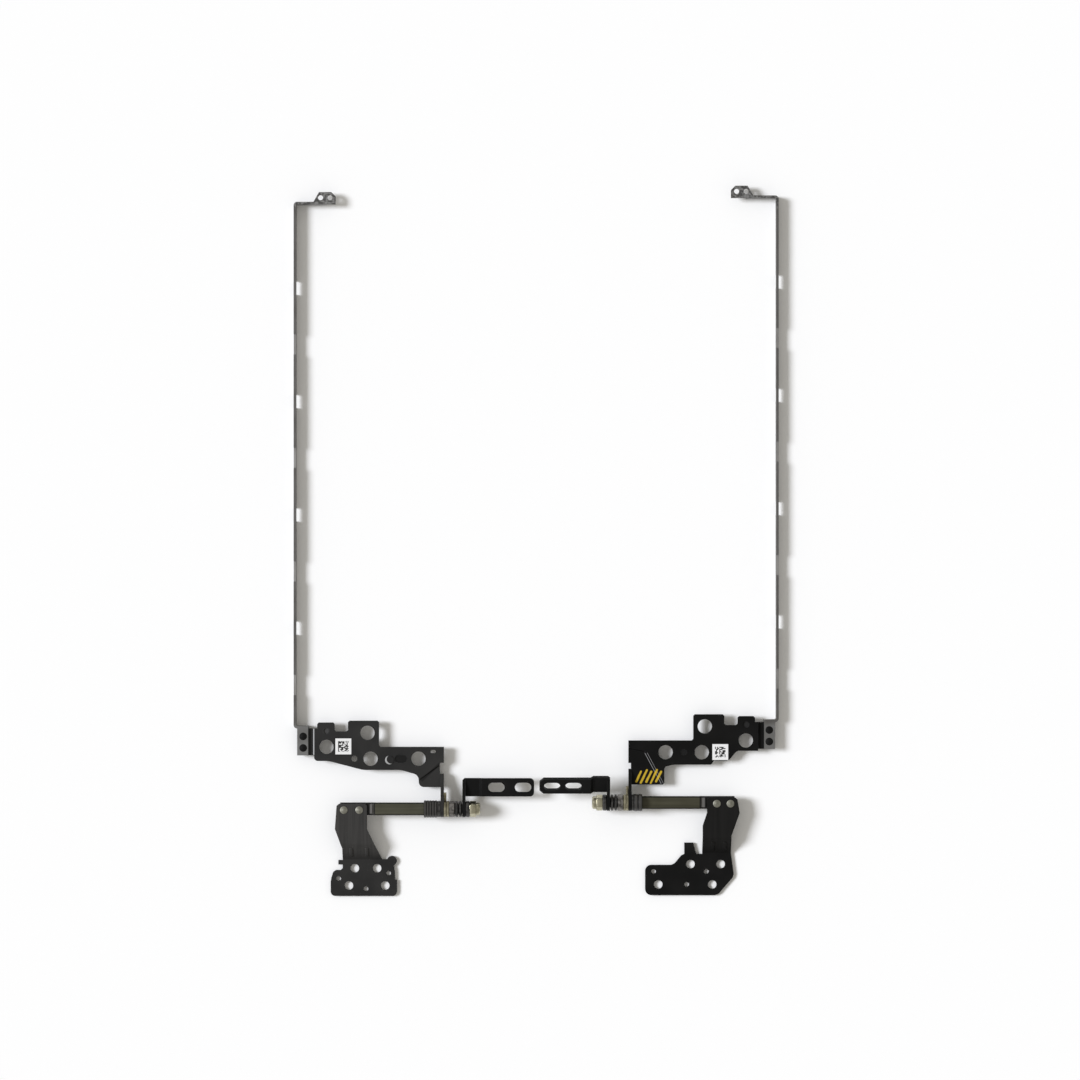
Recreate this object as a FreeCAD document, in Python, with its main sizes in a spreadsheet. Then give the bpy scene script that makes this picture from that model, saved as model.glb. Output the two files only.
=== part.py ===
"""Pair of laptop hinges, opened flat: a parametric document, in millimetres.

Each hinge is drawn about its own shaft: across is measured along the shaft, outwards from the outboard
face of the lid bracket's ear, and up is measured square to it, from the shaft's axis towards the lid.
The side is -1 for the left hinge and +1 for the right one, and turns an outward distance into X.
"""
import FreeCAD, Part
import math
import operator
import os

import Sketcher

# The driving dimensions, one cell each
SIZES = {
    # Where the two hinges lie, and how high their shafts are
    "ear_offset": 37.2,
    "stagger": 2.5,
    "axis_height": 5.6,
    "play": 0.05,
    # Lid bracket, alike on both sides
    "lid_gauge": 1.2,
    "lid_top": 4.2,
    "lid_reach": 49.4,
    "tab_low": 20.8,
    "tab_width": 10.5,
    "jog_run": 0.6,
    "lug_inset": 1.2,
    "lug_width": 6.8,
    "lug_top": 33.6,
    "gap_width": 5.2,
    "gap_floor": 30.1,
    "block_width": 12.1,
    "block_top": 34.3,
    "bridge_top": 24.1,
    "lobe_drop": 0.6,
    "lid_corner": 0.6,
    "ear_radius": 3.2,
    "crease_slope": 0.55,
    "boss_hole": 5.6,
    "outer_boss_inset": 4.8,
    "outer_boss_up": 24.1,
    "upper_boss_out": 28.6,
    "upper_boss_up": 29.6,
    "lower_boss_out": 27.4,
    "lower_boss_up": 19.5,
    "left_near_boss_out": 8.7,
    "right_near_boss_out": 13.3,
    "dimple_dia": 2.4,
    "dimple_depth": 0.5,
    "dimple_up": 30.3,
    "recess_depth": 0.3,
    # Left lid bracket
    "left_heel": 18.6,
    "left_heel_width": 5.6,
    "left_heel_corner": 1.5,
    "left_belly": 15.1,
    "left_belly_out": 30.3,
    "left_sweep_out": 15.6,
    "left_sweep_up": 13.1,
    "left_sweep_round": 2.6,
    "left_lobe_width": 8.6,
    "left_lobe_foot": 8.4,
    "left_lobe_corner": 2.0,
    "left_crease_out": 10.8,
    "left_crease_in": 17.8,
    "left_ear_top": 13.6,
    "left_relief_width": 4.3,
    "left_relief_depth": 1.6,
    "left_pilot_dia": 2.4,
    "left_pilot_out": 33.7,
    "left_recess_out": 15.6,
    "left_recess_length": 5.0,
    "left_recess_width": 3.4,
    "left_stake_out": 20.0,
    "left_stake_up": 19.0,
    "left_stake_dia": 3.4,
    "left_stake_rise": 0.3,
    "left_slit_out": 3.0,
    "left_slit_up": 22.3,
    "left_slit_length": 2.2,
    "left_slit_width": 1.2,
    # Right lid bracket
    "right_heel": 20.1,
    "right_heel_width": 8.3,
    "right_patch": 16.2,
    "right_patch_out": 37.8,
    "right_patch_in": 31.6,
    "right_belly": 14.7,
    "right_sweep_out": 16.3,
    "right_sweep_up": 13.8,
    "right_lobe_width": 12.8,
    "right_lobe_foot": 6.9,
    "right_crease_out": 11.6,
    "right_crease_turn_out": 4.9,
    "right_crease_turn_up": 19.6,
    "right_crease_in": 20.8,
    "right_ear_top": 13.0,
    "right_relief_width": 2.3,
    "right_relief_depth": 1.0,
    "right_recess_out": 20.2,
    "right_recess_length": 2.8,
    "right_recess_width": 2.2,
    # Lid rail
    "rail_gauge": 1.0,
    "tab_length": 6.0,
    "flange_set": 1.7,
    "rail_reach": 240.5,
    "rail_arm": 12.6,
    "rail_bend": 0.4,
    "tip_depth": 4.8,
    "tip_width": 8.6,
    "left_tip_inset": 16.4,
    "right_tip_inset": 18.6,
    "tip_slant_run": 2.1,
    "tip_slant_rise": 3.7,
    "tip_nose": 1.7,
    "tip_hole": 2.0,
    "tip_hole_inset": 2.2,
    "tip_hole_pitch": 3.7,
    "clip_first": 70.4,
    "clip_pitch": 44.3,
    "clip_length": 5.2,
    "clip_depth": 2.0,
    "relief_length": 8.0,
    "relief_depth": 0.7,
    # Rivets
    "rivet_head": 3.0,
    "rivet_shank": 2.0,
    "rivet_rise": 0.3,
    "rail_rivet_inset": 3.7,
    "rail_rivet_pitch": 4.5,
    "rail_rivet_low": 2.9,
    "base_rivet_drop": 0.4,
    "left_base_rivet_out": 31.7,
    "left_base_rivet_pitch": 6.0,
    "right_base_rivet_out": 33.2,
    "right_base_rivet_pitch": 5.3,
    # Sticker
    "label_side": 6.2,
    "label_film": 0.1,
    "left_label_out": 38.0,
    "left_label_up": 24.3,
    "right_label_out": 34.6,
    "right_label_up": 19.6,
    # Shaft
    "stack_dia": 6.3,
    "stub_dia": 3.6,
    "stub_flats": 2.6,
    "bar_width": 4.9,
    "bar_below": 1.6,
    "bar_edge": 0.4,
    "left_collar": 5.1,
    "right_collar": 3.3,
    "left_bar": 19.1,
    "right_bar": 22.4,
    "tongue": 13.6,
    "land_set": 0.5,
    "land_length": 1.5,
    "land_width": 3.6,
    "land_rise": 0.5,
    # Friction stack
    "left_thrust": 1.3,
    "right_thrust": 0.7,
    "tail_thick": 1.0,
    "tail_width": 1.2,
    "tail_reach": 6.4,
    "tail_hook": 1.2,
    "friction_thick": 0.9,
    "cam_thick": 2.2,
    "spring_thick": 0.45,
    "spring_cone": 0.28,
    "end_thick": 1.6,
    "nut_flats": 5.5,
    "nut_hex": 2.4,
    "nut_collar": 1.6,
    "nut_collar_dia": 5.0,
    # Support arm
    "arm_gauge": 1.2,
    "arm_low": 4.9,
    "arm_width": 7.1,
    "arm_under": 1.6,
    "arm_joggle": 1.0,
    "arm_step_in": 15.0,
    "left_arm_end": 36.4,
    "right_arm_end": 35.9,
    "arm_corner": 1.6,
    "arm_neck_corner": 0.8,
    "arm_slot_length": 6.4,
    "arm_slot_width": 3.6,
    "left_slot_in": 21.7,
    "left_slot_pitch": 10.4,
    "right_slot_in": 22.7,
    "right_slot_pitch": 8.3,
    "right_arm_turn": 35.0,
    # Base bracket, alike on both sides
    "base_gauge": 1.2,
    "strip_top": 2.0,
    "ramp_run": 6.0,
    "base_corner": 0.8,
    "base_fold": 0.6,
    "screw_hole": 3.4,
    "peg_hole": 1.9,
    # Left base bracket
    "left_strip_in": 28.7,
    "left_strip_width": 11.8,
    "left_strip_bulge": 0.7,
    "left_bulge_down": 7.8,
    "left_waist_down": 15.4,
    "left_waist_out": 38.4,
    "left_spread_in": 22.4,
    "left_foot_in": 17.2,
    "left_foot_width": 25.9,
    "left_foot_reach": 34.3,
    "left_foot_depth": 14.3,
    "left_foot_corner": 1.8,
    "left_shoulder_inset": 10.1,
    "left_shoulder_set": 1.2,
    "left_ledge": 0.8,
    "left_ledge_inset": 6.3,
    "left_knob_out": 19.2,
    "left_knob_inset": 13.7,
    "left_knob_radius": 1.9,
    "left_stop_inset": 14.0,
    "left_stop_size": 1.7,
    "left_upper_screw_out": 25.0,
    "left_upper_screw_pitch": 8.7,
    "left_upper_screw_set": 3.5,
    "left_lower_screw_out": 21.8,
    "left_lower_screw_pitch": 14.2,
    "left_lower_screw_inset": 4.05,
    "left_outer_peg_out": 40.0,
    "left_outer_peg_inset": 6.8,
    "left_middle_peg_out": 29.3,
    "left_middle_peg_inset": 2.8,
    "left_inner_peg_out": 20.5,
    "left_inner_peg_inset": 8.9,
    # Right base bracket
    "right_strip_in": 29.4,
    "right_strip_width": 11.7,
    "right_strip_bulge": 1.0,
    "right_bulge_down": 4.0,
    "right_waist_down": 12.9,
    "right_waist_out": 38.9,
    "right_neck_in": 27.7,
    "right_neck_down": 9.0,
    "right_foot_in": 5.4,
    "right_foot_width": 34.7,
    "right_foot_reach": 36.5,
    "right_foot_depth": 16.5,
    "right_foot_corner": 2.4,
    "right_shoulder_out": 16.4,
    "right_shoulder_inset": 11.8,
    "right_brow_out": 20.0,
    "right_brow_inset": 16.1,
    "right_chamfer_out": 33.6,
    "right_chamfer_inset": 7.5,
    "right_finger_out": 20.7,
    "right_finger_width": 3.4,
    "right_finger_root": 5.0,
    "right_finger_inset": 20.5,
    "right_upper_screw_out": 23.1,
    "right_upper_screw_pitch": 11.8,
    "right_upper_screw_set": 4.4,
    "right_lower_screw_out": 10.5,
    "right_lower_screw_pitch": 21.1,
    "right_lower_screw_inset": 4.15,
    "right_outer_peg_out": 29.3,
    "right_outer_peg_inset": 9.25,
    "right_middle_peg_out": 21.6,
    "right_middle_peg_inset": 4.2,
    "right_inner_peg_out": 8.7,
    "right_inner_peg_inset": 9.25,
}
CLIP_COUNT = 4
SPRING_COUNT = 4
# Small round pieces that repeat are drawn with flats, so that the whole part stays light
DISC_FLATS = 14
HEAD_FLATS = 10
SHANK_FLATS = 6
END_FLATS = 4
KEY_STEPS = 2
SIDES = {"left": -1, "right": 1}
WORKED = {"+": operator.add, "-": operator.sub, "*": operator.mul, "/": operator.truediv}

doc = FreeCAD.newDocument("LaptopHinges")
sub_parts = []


class Size:
    """A length on the sheet: the expression that a feature is bound to, and what it comes to."""

    def __init__(self, text, value):
        self.text = text
        self.value = value

    def __add__(self, other):
        return joined(self, "+", other)

    def __radd__(self, other):
        return joined(other, "+", self)

    def __sub__(self, other):
        return joined(self, "-", other)

    def __rsub__(self, other):
        return joined(other, "-", self)

    def __mul__(self, other):
        return joined(self, "*", other)

    def __rmul__(self, other):
        return joined(other, "*", self)

    def __truediv__(self, other):
        return joined(self, "/", other)

    def __neg__(self):
        return joined(0, "-", self)


def as_size(number):
    return number if isinstance(number, Size) else Size(str(number), float(number))


def joined(left, sign, right):
    left = as_size(left)
    right = as_size(right)
    return Size(f"({left.text} {sign} {right.text})", WORKED[sign](left.value, right.value))


def root(size):
    return Size(f"sqrt({size.text})", math.sqrt(size.value))


class Sheet:
    """The spreadsheet of driving dimensions; a cell is read as an attribute, or by name for a side."""

    def __init__(self):
        self.cells = doc.addObject("Spreadsheet::Sheet", "Sizes")
        for row, (alias, value) in enumerate(SIZES.items(), start=1):
            self.cells.set(f"A{row}", alias)
            self.cells.set(f"B{row}", str(value))
            self.cells.setAlias(f"B{row}", alias)
        doc.recompute()

    def __getattr__(self, alias):
        return Size(f"Sizes.{alias}", float(self.cells.get(alias)))


sheet = Sheet()


def of_side(side, alias):
    return getattr(sheet, f"{side}_{alias}")


def bind(item, path, size):
    item.setExpression(path, as_size(size).text)


# Sketches


def new_body(name, side, on_axis=False):
    """A body placed at its hinge: its zero is on the shaft's axis, or under it on the table."""
    body = doc.addObject("PartDesign::Body", f"{side}_{name}")
    axis_y = (sheet.left_foot_reach - sheet.stagger - sheet.rail_reach) / 2
    if side == "right":
        axis_y = axis_y + sheet.stagger
    bind(body, "Placement.Base.x", SIDES[side] * sheet.ear_offset)
    bind(body, "Placement.Base.y", axis_y)
    bind(body, "Placement.Base.z", sheet.axis_height if on_axis else 0)
    return body


def sketch_on(body, role, lift=0):
    """A sketch on one of the body's origin planes, moved along the plane's normal by lift."""
    sketch = body.newObject("Sketcher::SketchObject", "Sketch")
    plane = [item for item in body.Origin.OriginFeatures if item.Role == role][0]
    sketch.AttachmentSupport = [(plane, "")]
    sketch.MapMode = "FlatFace"
    bind(sketch, "AttachmentOffset.Base.z", lift)
    return sketch


def place(point):
    return FreeCAD.Vector(as_size(point[0]).value, as_size(point[1]).value, 0)


def pin(sketch, geometry, vertex, point):
    """Holds a sketch point at two expressions, measured from the sketch's origin."""
    for kind, size in zip(("DistanceX", "DistanceY"), point):
        size = as_size(size)
        index = sketch.addConstraint(Sketcher.Constraint(kind, -1, 1, geometry, vertex, size.value))
        sketch.setExpression(f"Constraints[{index}]", size.text)


def hold_radius(sketch, geometry, radius):
    index = sketch.addConstraint(Sketcher.Constraint("Radius", geometry, radius.value))
    sketch.setExpression(f"Constraints[{index}]", radius.text)


def draw_outline(sketch, corners):
    """A closed outline of straight runs through the corners."""
    first = sketch.GeometryCount
    count = len(corners)
    for index, corner in enumerate(corners):
        following = corners[(index + 1) % count]
        sketch.addGeometry(Part.LineSegment(place(corner), place(following)), False)
    for index, corner in enumerate(corners):
        following = first + (index + 1) % count
        sketch.addConstraint(Sketcher.Constraint("Coincident", first + index, 2, following, 1))
        pin(sketch, first + index, 1, corner)


def draw_circle(sketch, centre, radius):
    normal = FreeCAD.Vector(0, 0, 1)
    circle = sketch.addGeometry(Part.Circle(place(centre), normal, radius.value), False)
    pin(sketch, circle, 3, centre)
    hold_radius(sketch, circle, radius)


def draw_round(sketch, centre, radius, flats):
    """A round outline made of flats, which lie at the radius."""
    reach = 1 / math.cos(math.pi / flats)
    corners = []
    for index in range(flats):
        angle = (2 * index + 1) * math.pi / flats
        corners.append((centre[0] + radius * round(reach * math.cos(angle), 6),
                        centre[1] + radius * round(reach * math.sin(angle), 6)))
    draw_outline(sketch, corners)


def draw_arc(sketch, centre, radius, start_angle, end_angle):
    circle = Part.Circle(place(centre), FreeCAD.Vector(0, 0, 1), radius.value)
    return sketch.addGeometry(Part.ArcOfCircle(circle, start_angle, end_angle), False)


def draw_slot(sketch, centre, length, width):
    """A slot along the sketch's first direction: two straight sides and two tangent half rounds."""
    reach = (length - width) / 2
    half = width / 2
    across, up = centre
    lower = (across - reach, up - half), (across + reach, up - half)
    upper = (across + reach, up + half), (across - reach, up + half)
    sides = []
    for start, end in (lower, upper):
        line = sketch.addGeometry(Part.LineSegment(place(start), place(end)), False)
        pin(sketch, line, 1, start)
        pin(sketch, line, 2, end)
        sides.append(line)
    far = draw_arc(sketch, (across + reach, up), half, -math.pi / 2, math.pi / 2)
    near = draw_arc(sketch, (across - reach, up), half, math.pi / 2, 3 * math.pi / 2)
    for arc, first, second in ((far, sides[0], sides[1]), (near, sides[1], sides[0])):
        sketch.addConstraint(Sketcher.Constraint("Tangent", first, 2, arc, 1))
        sketch.addConstraint(Sketcher.Constraint("Coincident", arc, 2, second, 1))


def tangent_angle(point, centre, radius, turn):
    """The angle on a circle where a line from the point touches it, on the side that turn gives."""
    away = place(point) - place(centre)
    return math.atan2(away.y, away.x) + turn * math.acos(radius.value / away.Length)


def draw_lug(sketch, centre, radius, corners):
    """A round end on a shaft, with tangent sides that run to the first and last corner."""
    start = tangent_angle(corners[0], centre, radius, 1)
    end = tangent_angle(corners[-1], centre, radius, -1) + 2 * math.pi
    arc = draw_arc(sketch, centre, radius, start, end)
    pin(sketch, arc, 3, centre)
    hold_radius(sketch, arc, radius)
    touch = [place(centre) + radius.value * FreeCAD.Vector(math.cos(angle), math.sin(angle), 0)
             for angle in (start, end)]
    stops = [touch[1]] + [place(corner) for corner in reversed(corners)] + [touch[0]]
    lines = [sketch.addGeometry(Part.LineSegment(*pair), False) for pair in zip(stops, stops[1:])]
    for line, following, corner in zip(lines, lines[1:], reversed(corners)):
        sketch.addConstraint(Sketcher.Constraint("Coincident", line, 2, following, 1))
        pin(sketch, following, 1, corner)
    sketch.addConstraint(Sketcher.Constraint("Tangent", arc, 2, lines[0], 1))
    sketch.addConstraint(Sketcher.Constraint("Tangent", lines[-1], 2, arc, 1))


def draw_double_d(sketch, diameter, flats):
    """A round section with two flats, level with the table, and a few steps along each round side."""
    half = flats / 2
    side = root(diameter * diameter - flats * flats) / 2
    corners = []
    for turn in (1, -1):
        corners.append((turn * side, -turn * half))
        for step in range(1, KEY_STEPS):
            height = turn * half * (2 * step / KEY_STEPS - 1)
            across = root(diameter * diameter - 4 * height * height) / 2
            corners.append((turn * across, height))
        corners.append((turn * side, turn * half))
    draw_outline(sketch, corners)


# Features


def pad(body, sketch, length, backwards=False):
    feature = body.newObject("PartDesign::Pad", "Pad")
    feature.Profile = sketch
    bind(feature, "Length", length)
    feature.Reversed = backwards
    doc.recompute()
    return feature


def cut_through(body, sketch):
    """Cuts a sketch's outlines right through the body, both ways."""
    before = body.Shape.Volume
    feature = body.newObject("PartDesign::Pocket", "Pocket")
    feature.Profile = sketch
    feature.Type = "ThroughAll"
    feature.Midplane = True
    doc.recompute()
    require(feature.Shape.Volume < before, f"{body.Name} lost nothing to its cut")
    return feature


def cut_down(body, sketch, depth):
    """Sinks a sketch's outlines into the body by a depth, against the sketch's normal."""
    before = body.Shape.Volume
    feature = body.newObject("PartDesign::Pocket", "Pocket")
    feature.Profile = sketch
    bind(feature, "Length", depth)
    doc.recompute()
    require(feature.Shape.Volume < before, f"{body.Name} lost nothing to its cut")
    return feature


def require(holds, complaint):
    if not holds:
        raise RuntimeError(complaint)


NEAR = 1e-3


def edges_where(feature, test):
    names = []
    for index, edge in enumerate(feature.Shape.Edges, start=1):
        if test(edge):
            names.append(f"Edge{index}")
    return names


def is_along(edge, direction):
    """Whether an edge is straight and runs along a direction."""
    if not isinstance(edge.Curve, Part.Line):
        return False
    return abs(abs(edge.Curve.Direction.dot(direction)) - 1) < NEAR


def round_edges(body, radius, test, kind="Fillet"):
    """Rounds or chamfers the edges of a body's last feature that pass a test."""
    base = body.Tip
    names = edges_where(base, test)
    require(names, f"{body.Name} has no such edge to round")
    feature = body.newObject(f"PartDesign::{kind}", kind)
    feature.Base = (base, names)
    bind(feature, "Size" if kind == "Chamfer" else "Radius", radius)
    doc.recompute()
    require("Invalid" not in feature.State, f"{body.Name} cannot take a {kind} of {as_size(radius).text}")
    return feature


def upright_at(points):
    """A test for upright edges at any of the plan points."""
    places = [place(point) for point in points]

    def test(edge):
        if not is_along(edge, FreeCAD.Vector(0, 0, 1)):
            return False
        middle = edge.CenterOfMass
        return any(math.hypot(middle.x - spot.x, middle.y - spot.y) < NEAR for spot in places)

    return test


def lengthways_at(points):
    """A test for edges along the shaft at any of the (up, height) points."""
    places = [place(point) for point in points]

    def test(edge):
        if not is_along(edge, FreeCAD.Vector(1, 0, 0)):
            return False
        middle = edge.CenterOfMass
        return any(math.hypot(middle.y - spot.x, middle.z - spot.y) < NEAR for spot in places)

    return test


def level_at(height):
    """A test for level edges at a height."""

    def test(edge):
        return abs(edge.BoundBox.ZMin - height) < NEAR and edge.BoundBox.ZLength < NEAR

    return test


def level_between(points, height):
    """A test for level edges at a height whose middle lies on the line through the plan points."""
    places = [place(point) for point in points]
    runs = list(zip(places, places[1:]))

    def test(edge):
        if abs(edge.BoundBox.ZMin - height.value) > NEAR or edge.BoundBox.ZLength > NEAR:
            return False
        middle = FreeCAD.Vector(edge.CenterOfMass.x, edge.CenterOfMass.y, 0)
        return any(middle.distanceToLineSegment(start, end).Length < NEAR for start, end in runs)

    return test


def outward(side, corners):
    """Plan corners of a hinge, turned from outward distances into the body's own X."""
    return [(SIDES[side] * across, up) for across, up in corners]


def low_x(side, near, far):
    """The lower X of a span that runs outwards from near to far."""
    return near if SIDES[side] > 0 else -as_size(far)


def keep(item, name):
    item.Label = name
    sub_parts.append(item)


# Lid bracket


def lid_corners(side):
    """The flat plate's outline, from the tab round the top to the ear and back along the lower edge."""
    lug_out = sheet.lid_reach - sheet.lug_inset
    gap_out = lug_out - sheet.lug_width
    block_out = gap_out - sheet.gap_width
    block_in = block_out - sheet.block_width
    tab_high = sheet.tab_low + sheet.tab_width
    ear_in = -sheet.lid_gauge
    top = [(sheet.lid_reach, tab_high), (lug_out, tab_high), (lug_out, sheet.lug_top),
           (gap_out, sheet.lug_top), (gap_out, sheet.gap_floor), (block_out, sheet.gap_floor),
           (block_out, sheet.block_top), (block_in, sheet.block_top), (block_in, sheet.bridge_top),
           (ear_in, sheet.bridge_top)]
    return top + lobe_crease(side) + lower_edge(side)


def lobe_crease(side):
    """The line along which the corner beside the ear is pressed down, from the ear outwards."""
    if side == "left":
        return [(-sheet.lid_gauge, sheet.left_crease_in), (sheet.left_lobe_width, sheet.left_crease_out)]
    return [(-sheet.lid_gauge, sheet.right_crease_in),
            (sheet.right_crease_turn_out, sheet.right_crease_turn_up),
            (sheet.right_crease_out, sheet.right_lobe_foot)]


def lower_edge(side):
    """The plate's lower edge, from the pressed corner out to the tab."""
    if side == "left":
        heel_in = sheet.lid_reach - sheet.left_heel_width
        return [(sheet.left_lobe_width, sheet.left_sweep_up), (sheet.left_sweep_out, sheet.left_belly),
                (sheet.left_belly_out, sheet.left_belly), (heel_in, sheet.left_heel),
                (sheet.lid_reach, sheet.left_heel)]
    heel_in = sheet.lid_reach - sheet.right_heel_width
    return [(sheet.right_lobe_width, sheet.right_lobe_foot), (sheet.right_lobe_width, sheet.right_sweep_up),
            (sheet.right_sweep_out, sheet.right_belly), (sheet.right_patch_in, sheet.right_belly),
            (sheet.right_patch_in, sheet.right_patch), (sheet.right_patch_out, sheet.right_patch),
            (heel_in, sheet.right_heel), (sheet.lid_reach, sheet.right_heel)]


def lobe_corners(side):
    """The pressed corner that carries the ear."""
    foot = of_side(side, "lobe_foot")
    corners = [(-sheet.lid_gauge, foot)]
    if side == "left":
        corners.append((sheet.left_lobe_width, foot))
    return corners + list(reversed(lobe_crease(side)))


def outer_boss_out():
    return sheet.lid_reach - sheet.outer_boss_inset


def boss_holes(side):
    return [(outer_boss_out(), sheet.outer_boss_up), (sheet.upper_boss_out, sheet.upper_boss_up),
            (sheet.lower_boss_out, sheet.lower_boss_up),
            (of_side(side, "near_boss_out"), sheet.lower_boss_up)]


def jog_end_out():
    return sheet.lid_reach + sheet.jog_run


def add_tab(body, side):
    """The tab under the rail's flange, one rail gauge lower than the plate, with its steep joggle."""
    floor = sheet.lid_top - sheet.lid_gauge
    drop = sheet.rail_gauge
    run = sheet.jog_run
    shift = sheet.lid_gauge * (root(run * run + drop * drop) - run) / drop
    root_in = sheet.lid_reach - sheet.lid_gauge
    jog_end = jog_end_out()
    tab_end = jog_end + sheet.tab_length
    under = [(root_in, floor), (sheet.lid_reach - shift, floor), (jog_end - shift, floor - drop),
             (tab_end, floor - drop)]
    profile = under + [(tab_end, sheet.lid_top - drop), (jog_end, sheet.lid_top - drop),
                       (sheet.lid_reach, sheet.lid_top), (root_in, sheet.lid_top)]
    sketch = sketch_on(body, "XZ_Plane", -sheet.tab_low)
    draw_outline(sketch, outward(side, profile))
    pad(body, sketch, sheet.tab_width, backwards=True)


def add_ear(body, side):
    """The standing ear, folded up from the pressed corner and rounded about the shaft."""
    floor = sheet.lid_top - sheet.lobe_drop - sheet.lid_gauge
    top = of_side(side, "ear_top")
    foot = of_side(side, "lobe_foot")
    sketch = sketch_on(body, "YZ_Plane", low_x(side, -sheet.lid_gauge, 0))
    draw_lug(sketch, (0, sheet.axis_height), sheet.ear_radius,
             [(top, floor + sheet.lid_gauge), (top, floor), (foot, floor)])
    pad(body, sketch, sheet.lid_gauge)


def trim_lid_corners(body, side):
    """Blunts the plate's corners, and rounds the left one's heel and the way to its pressed corner."""
    corners = outward(side, lid_corners(side))
    lower = outward(side, lower_edge(side))
    if side == "left":
        lobe_tip = outward(side, [(sheet.left_lobe_width, sheet.left_lobe_foot)])
        round_edges(body, sheet.left_lobe_corner, upright_at(lobe_tip))
        round_edges(body, sheet.left_sweep_round, upright_at(lower[:1]))
        round_edges(body, sheet.left_heel_corner, upright_at(lower[-1:]))
        lower = lower[1:]
    round_edges(body, sheet.lid_corner, upright_at(corners[2:9] + lower[:-1]), "Chamfer")


def draw_oblong(sketch, centre, length, width):
    """An oblong along the sketch's first direction, its ends rounded in a few flats."""
    half = width / 2
    reach = (length - width) / 2
    corners = []
    for end in (1, -1):
        for step in range(END_FLATS + 1):
            angle = math.pi * (step / END_FLATS - 0.5)
            corners.append((centre[0] + end * (reach + half * round(math.cos(angle), 6)),
                            centre[1] + end * half * round(math.sin(angle), 6)))
    draw_outline(sketch, corners)


def draw_relief(sketch, side):
    """The bend relief in the plate's inboard edge, above the ear."""
    edge = -sheet.lid_gauge
    inner = edge + of_side(side, "relief_depth")
    low = of_side(side, "ear_top")
    high = low + of_side(side, "relief_width")
    corners = [(edge - sheet.play, low), (inner, low), (inner, high), (edge - sheet.play, high)]
    draw_outline(sketch, outward(side, corners))


def add_stake(body):
    """The half-pierced stake that stands out of the left plate beside its recess."""
    sketch = sketch_on(body, "XY_Plane", sheet.lid_top)
    stake = outward("left", [(sheet.left_stake_out, sheet.left_stake_up)])[0]
    draw_round(sketch, stake, sheet.left_stake_dia / 2, HEAD_FLATS)
    pad(body, sketch, sheet.left_stake_rise)
    crown = (sheet.lid_top + sheet.left_stake_rise).value
    round_edges(body, sheet.left_stake_rise / 2, level_at(crown), "Chamfer")


def cut_lid_holes(body, side):
    """The screw bosses' holes, the rivet holes, the bend relief and the left plate's pilot and slit."""
    sketch = sketch_on(body, "XY_Plane")
    for hole in outward(side, boss_holes(side)):
        draw_circle(sketch, hole, sheet.boss_hole / 2)
    for hole in outward(side, rail_rivet_places()):
        draw_round(sketch, hole, sheet.rivet_shank / 2 + sheet.play, SHANK_FLATS)
    draw_relief(sketch, side)
    if side == "left":
        pilot, slit = outward(side, [(sheet.left_pilot_out, sheet.lower_boss_up),
                                     (sheet.left_slit_out, sheet.left_slit_up)])
        draw_circle(sketch, pilot, sheet.left_pilot_dia / 2)
        draw_oblong(sketch, slit, sheet.left_slit_length, sheet.left_slit_width)
    cut_through(body, sketch)


def sink_lid_marks(body, side):
    """The round dimple beside the tab, and the shallow oblong recess between the lower bosses."""
    sketch = sketch_on(body, "XY_Plane", sheet.lid_top)
    dimple = outward(side, [(outer_boss_out(), sheet.dimple_up)])[0]
    draw_round(sketch, dimple, sheet.dimple_dia / 2, HEAD_FLATS)
    cut_down(body, sketch, sheet.dimple_depth)
    sketch = sketch_on(body, "XY_Plane", sheet.lid_top)
    recess = outward(side, [(of_side(side, "recess_out"), sheet.lower_boss_up)])[0]
    draw_oblong(sketch, recess, of_side(side, "recess_length"), of_side(side, "recess_width"))
    cut_down(body, sketch, sheet.recess_depth)


def lid_bracket(side):
    body = new_body("lid_bracket", side)
    floor = sheet.lid_top - sheet.lid_gauge
    corners = outward(side, lid_corners(side))
    sketch = sketch_on(body, "XY_Plane", floor)
    draw_outline(sketch, corners)
    pad(body, sketch, sheet.lid_gauge)
    sketch = sketch_on(body, "XY_Plane", floor - sheet.lobe_drop)
    draw_outline(sketch, outward(side, lobe_corners(side)))
    pad(body, sketch, sheet.lid_gauge)
    crease = outward(side, lobe_crease(side))
    round_edges(body, sheet.crease_slope, level_between(crease, sheet.lid_top), "Chamfer")
    add_ear(body, side)
    add_tab(body, side)
    trim_lid_corners(body, side)
    if side == "left":
        add_stake(body)
    cut_lid_holes(body, side)
    sink_lid_marks(body, side)
    sketch = sketch_on(body, "YZ_Plane")
    draw_round(sketch, (0, sheet.axis_height), sheet.stub_dia / 2 + sheet.play, DISC_FLATS)
    draw_hook(sketch, (0, sheet.axis_height), sheet.play)
    cut_through(body, sketch)
    keep(body, f"{side}_lid_bracket")


# Lid rail


def rail_out():
    """The rail's outer face: its bend starts where the tab ends."""
    return jog_end_out() + sheet.tab_length + sheet.rail_bend + sheet.rail_gauge


def flange_in():
    """The flange's inboard edge, a little way out from the foot of the joggle."""
    return jog_end_out() + sheet.flange_set


def rail_rivet_places():
    out = rail_out() - sheet.rail_rivet_inset
    low = sheet.tab_low + sheet.rail_rivet_low
    return [(out, low), (out, low + sheet.rail_rivet_pitch)]


def tip_holes(side):
    out = rail_out() - of_side(side, "tip_inset") + sheet.tip_hole_inset
    up = sheet.rail_reach - sheet.tip_hole_inset
    return [(out, up), (out + sheet.tip_hole_pitch, up)]


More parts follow.
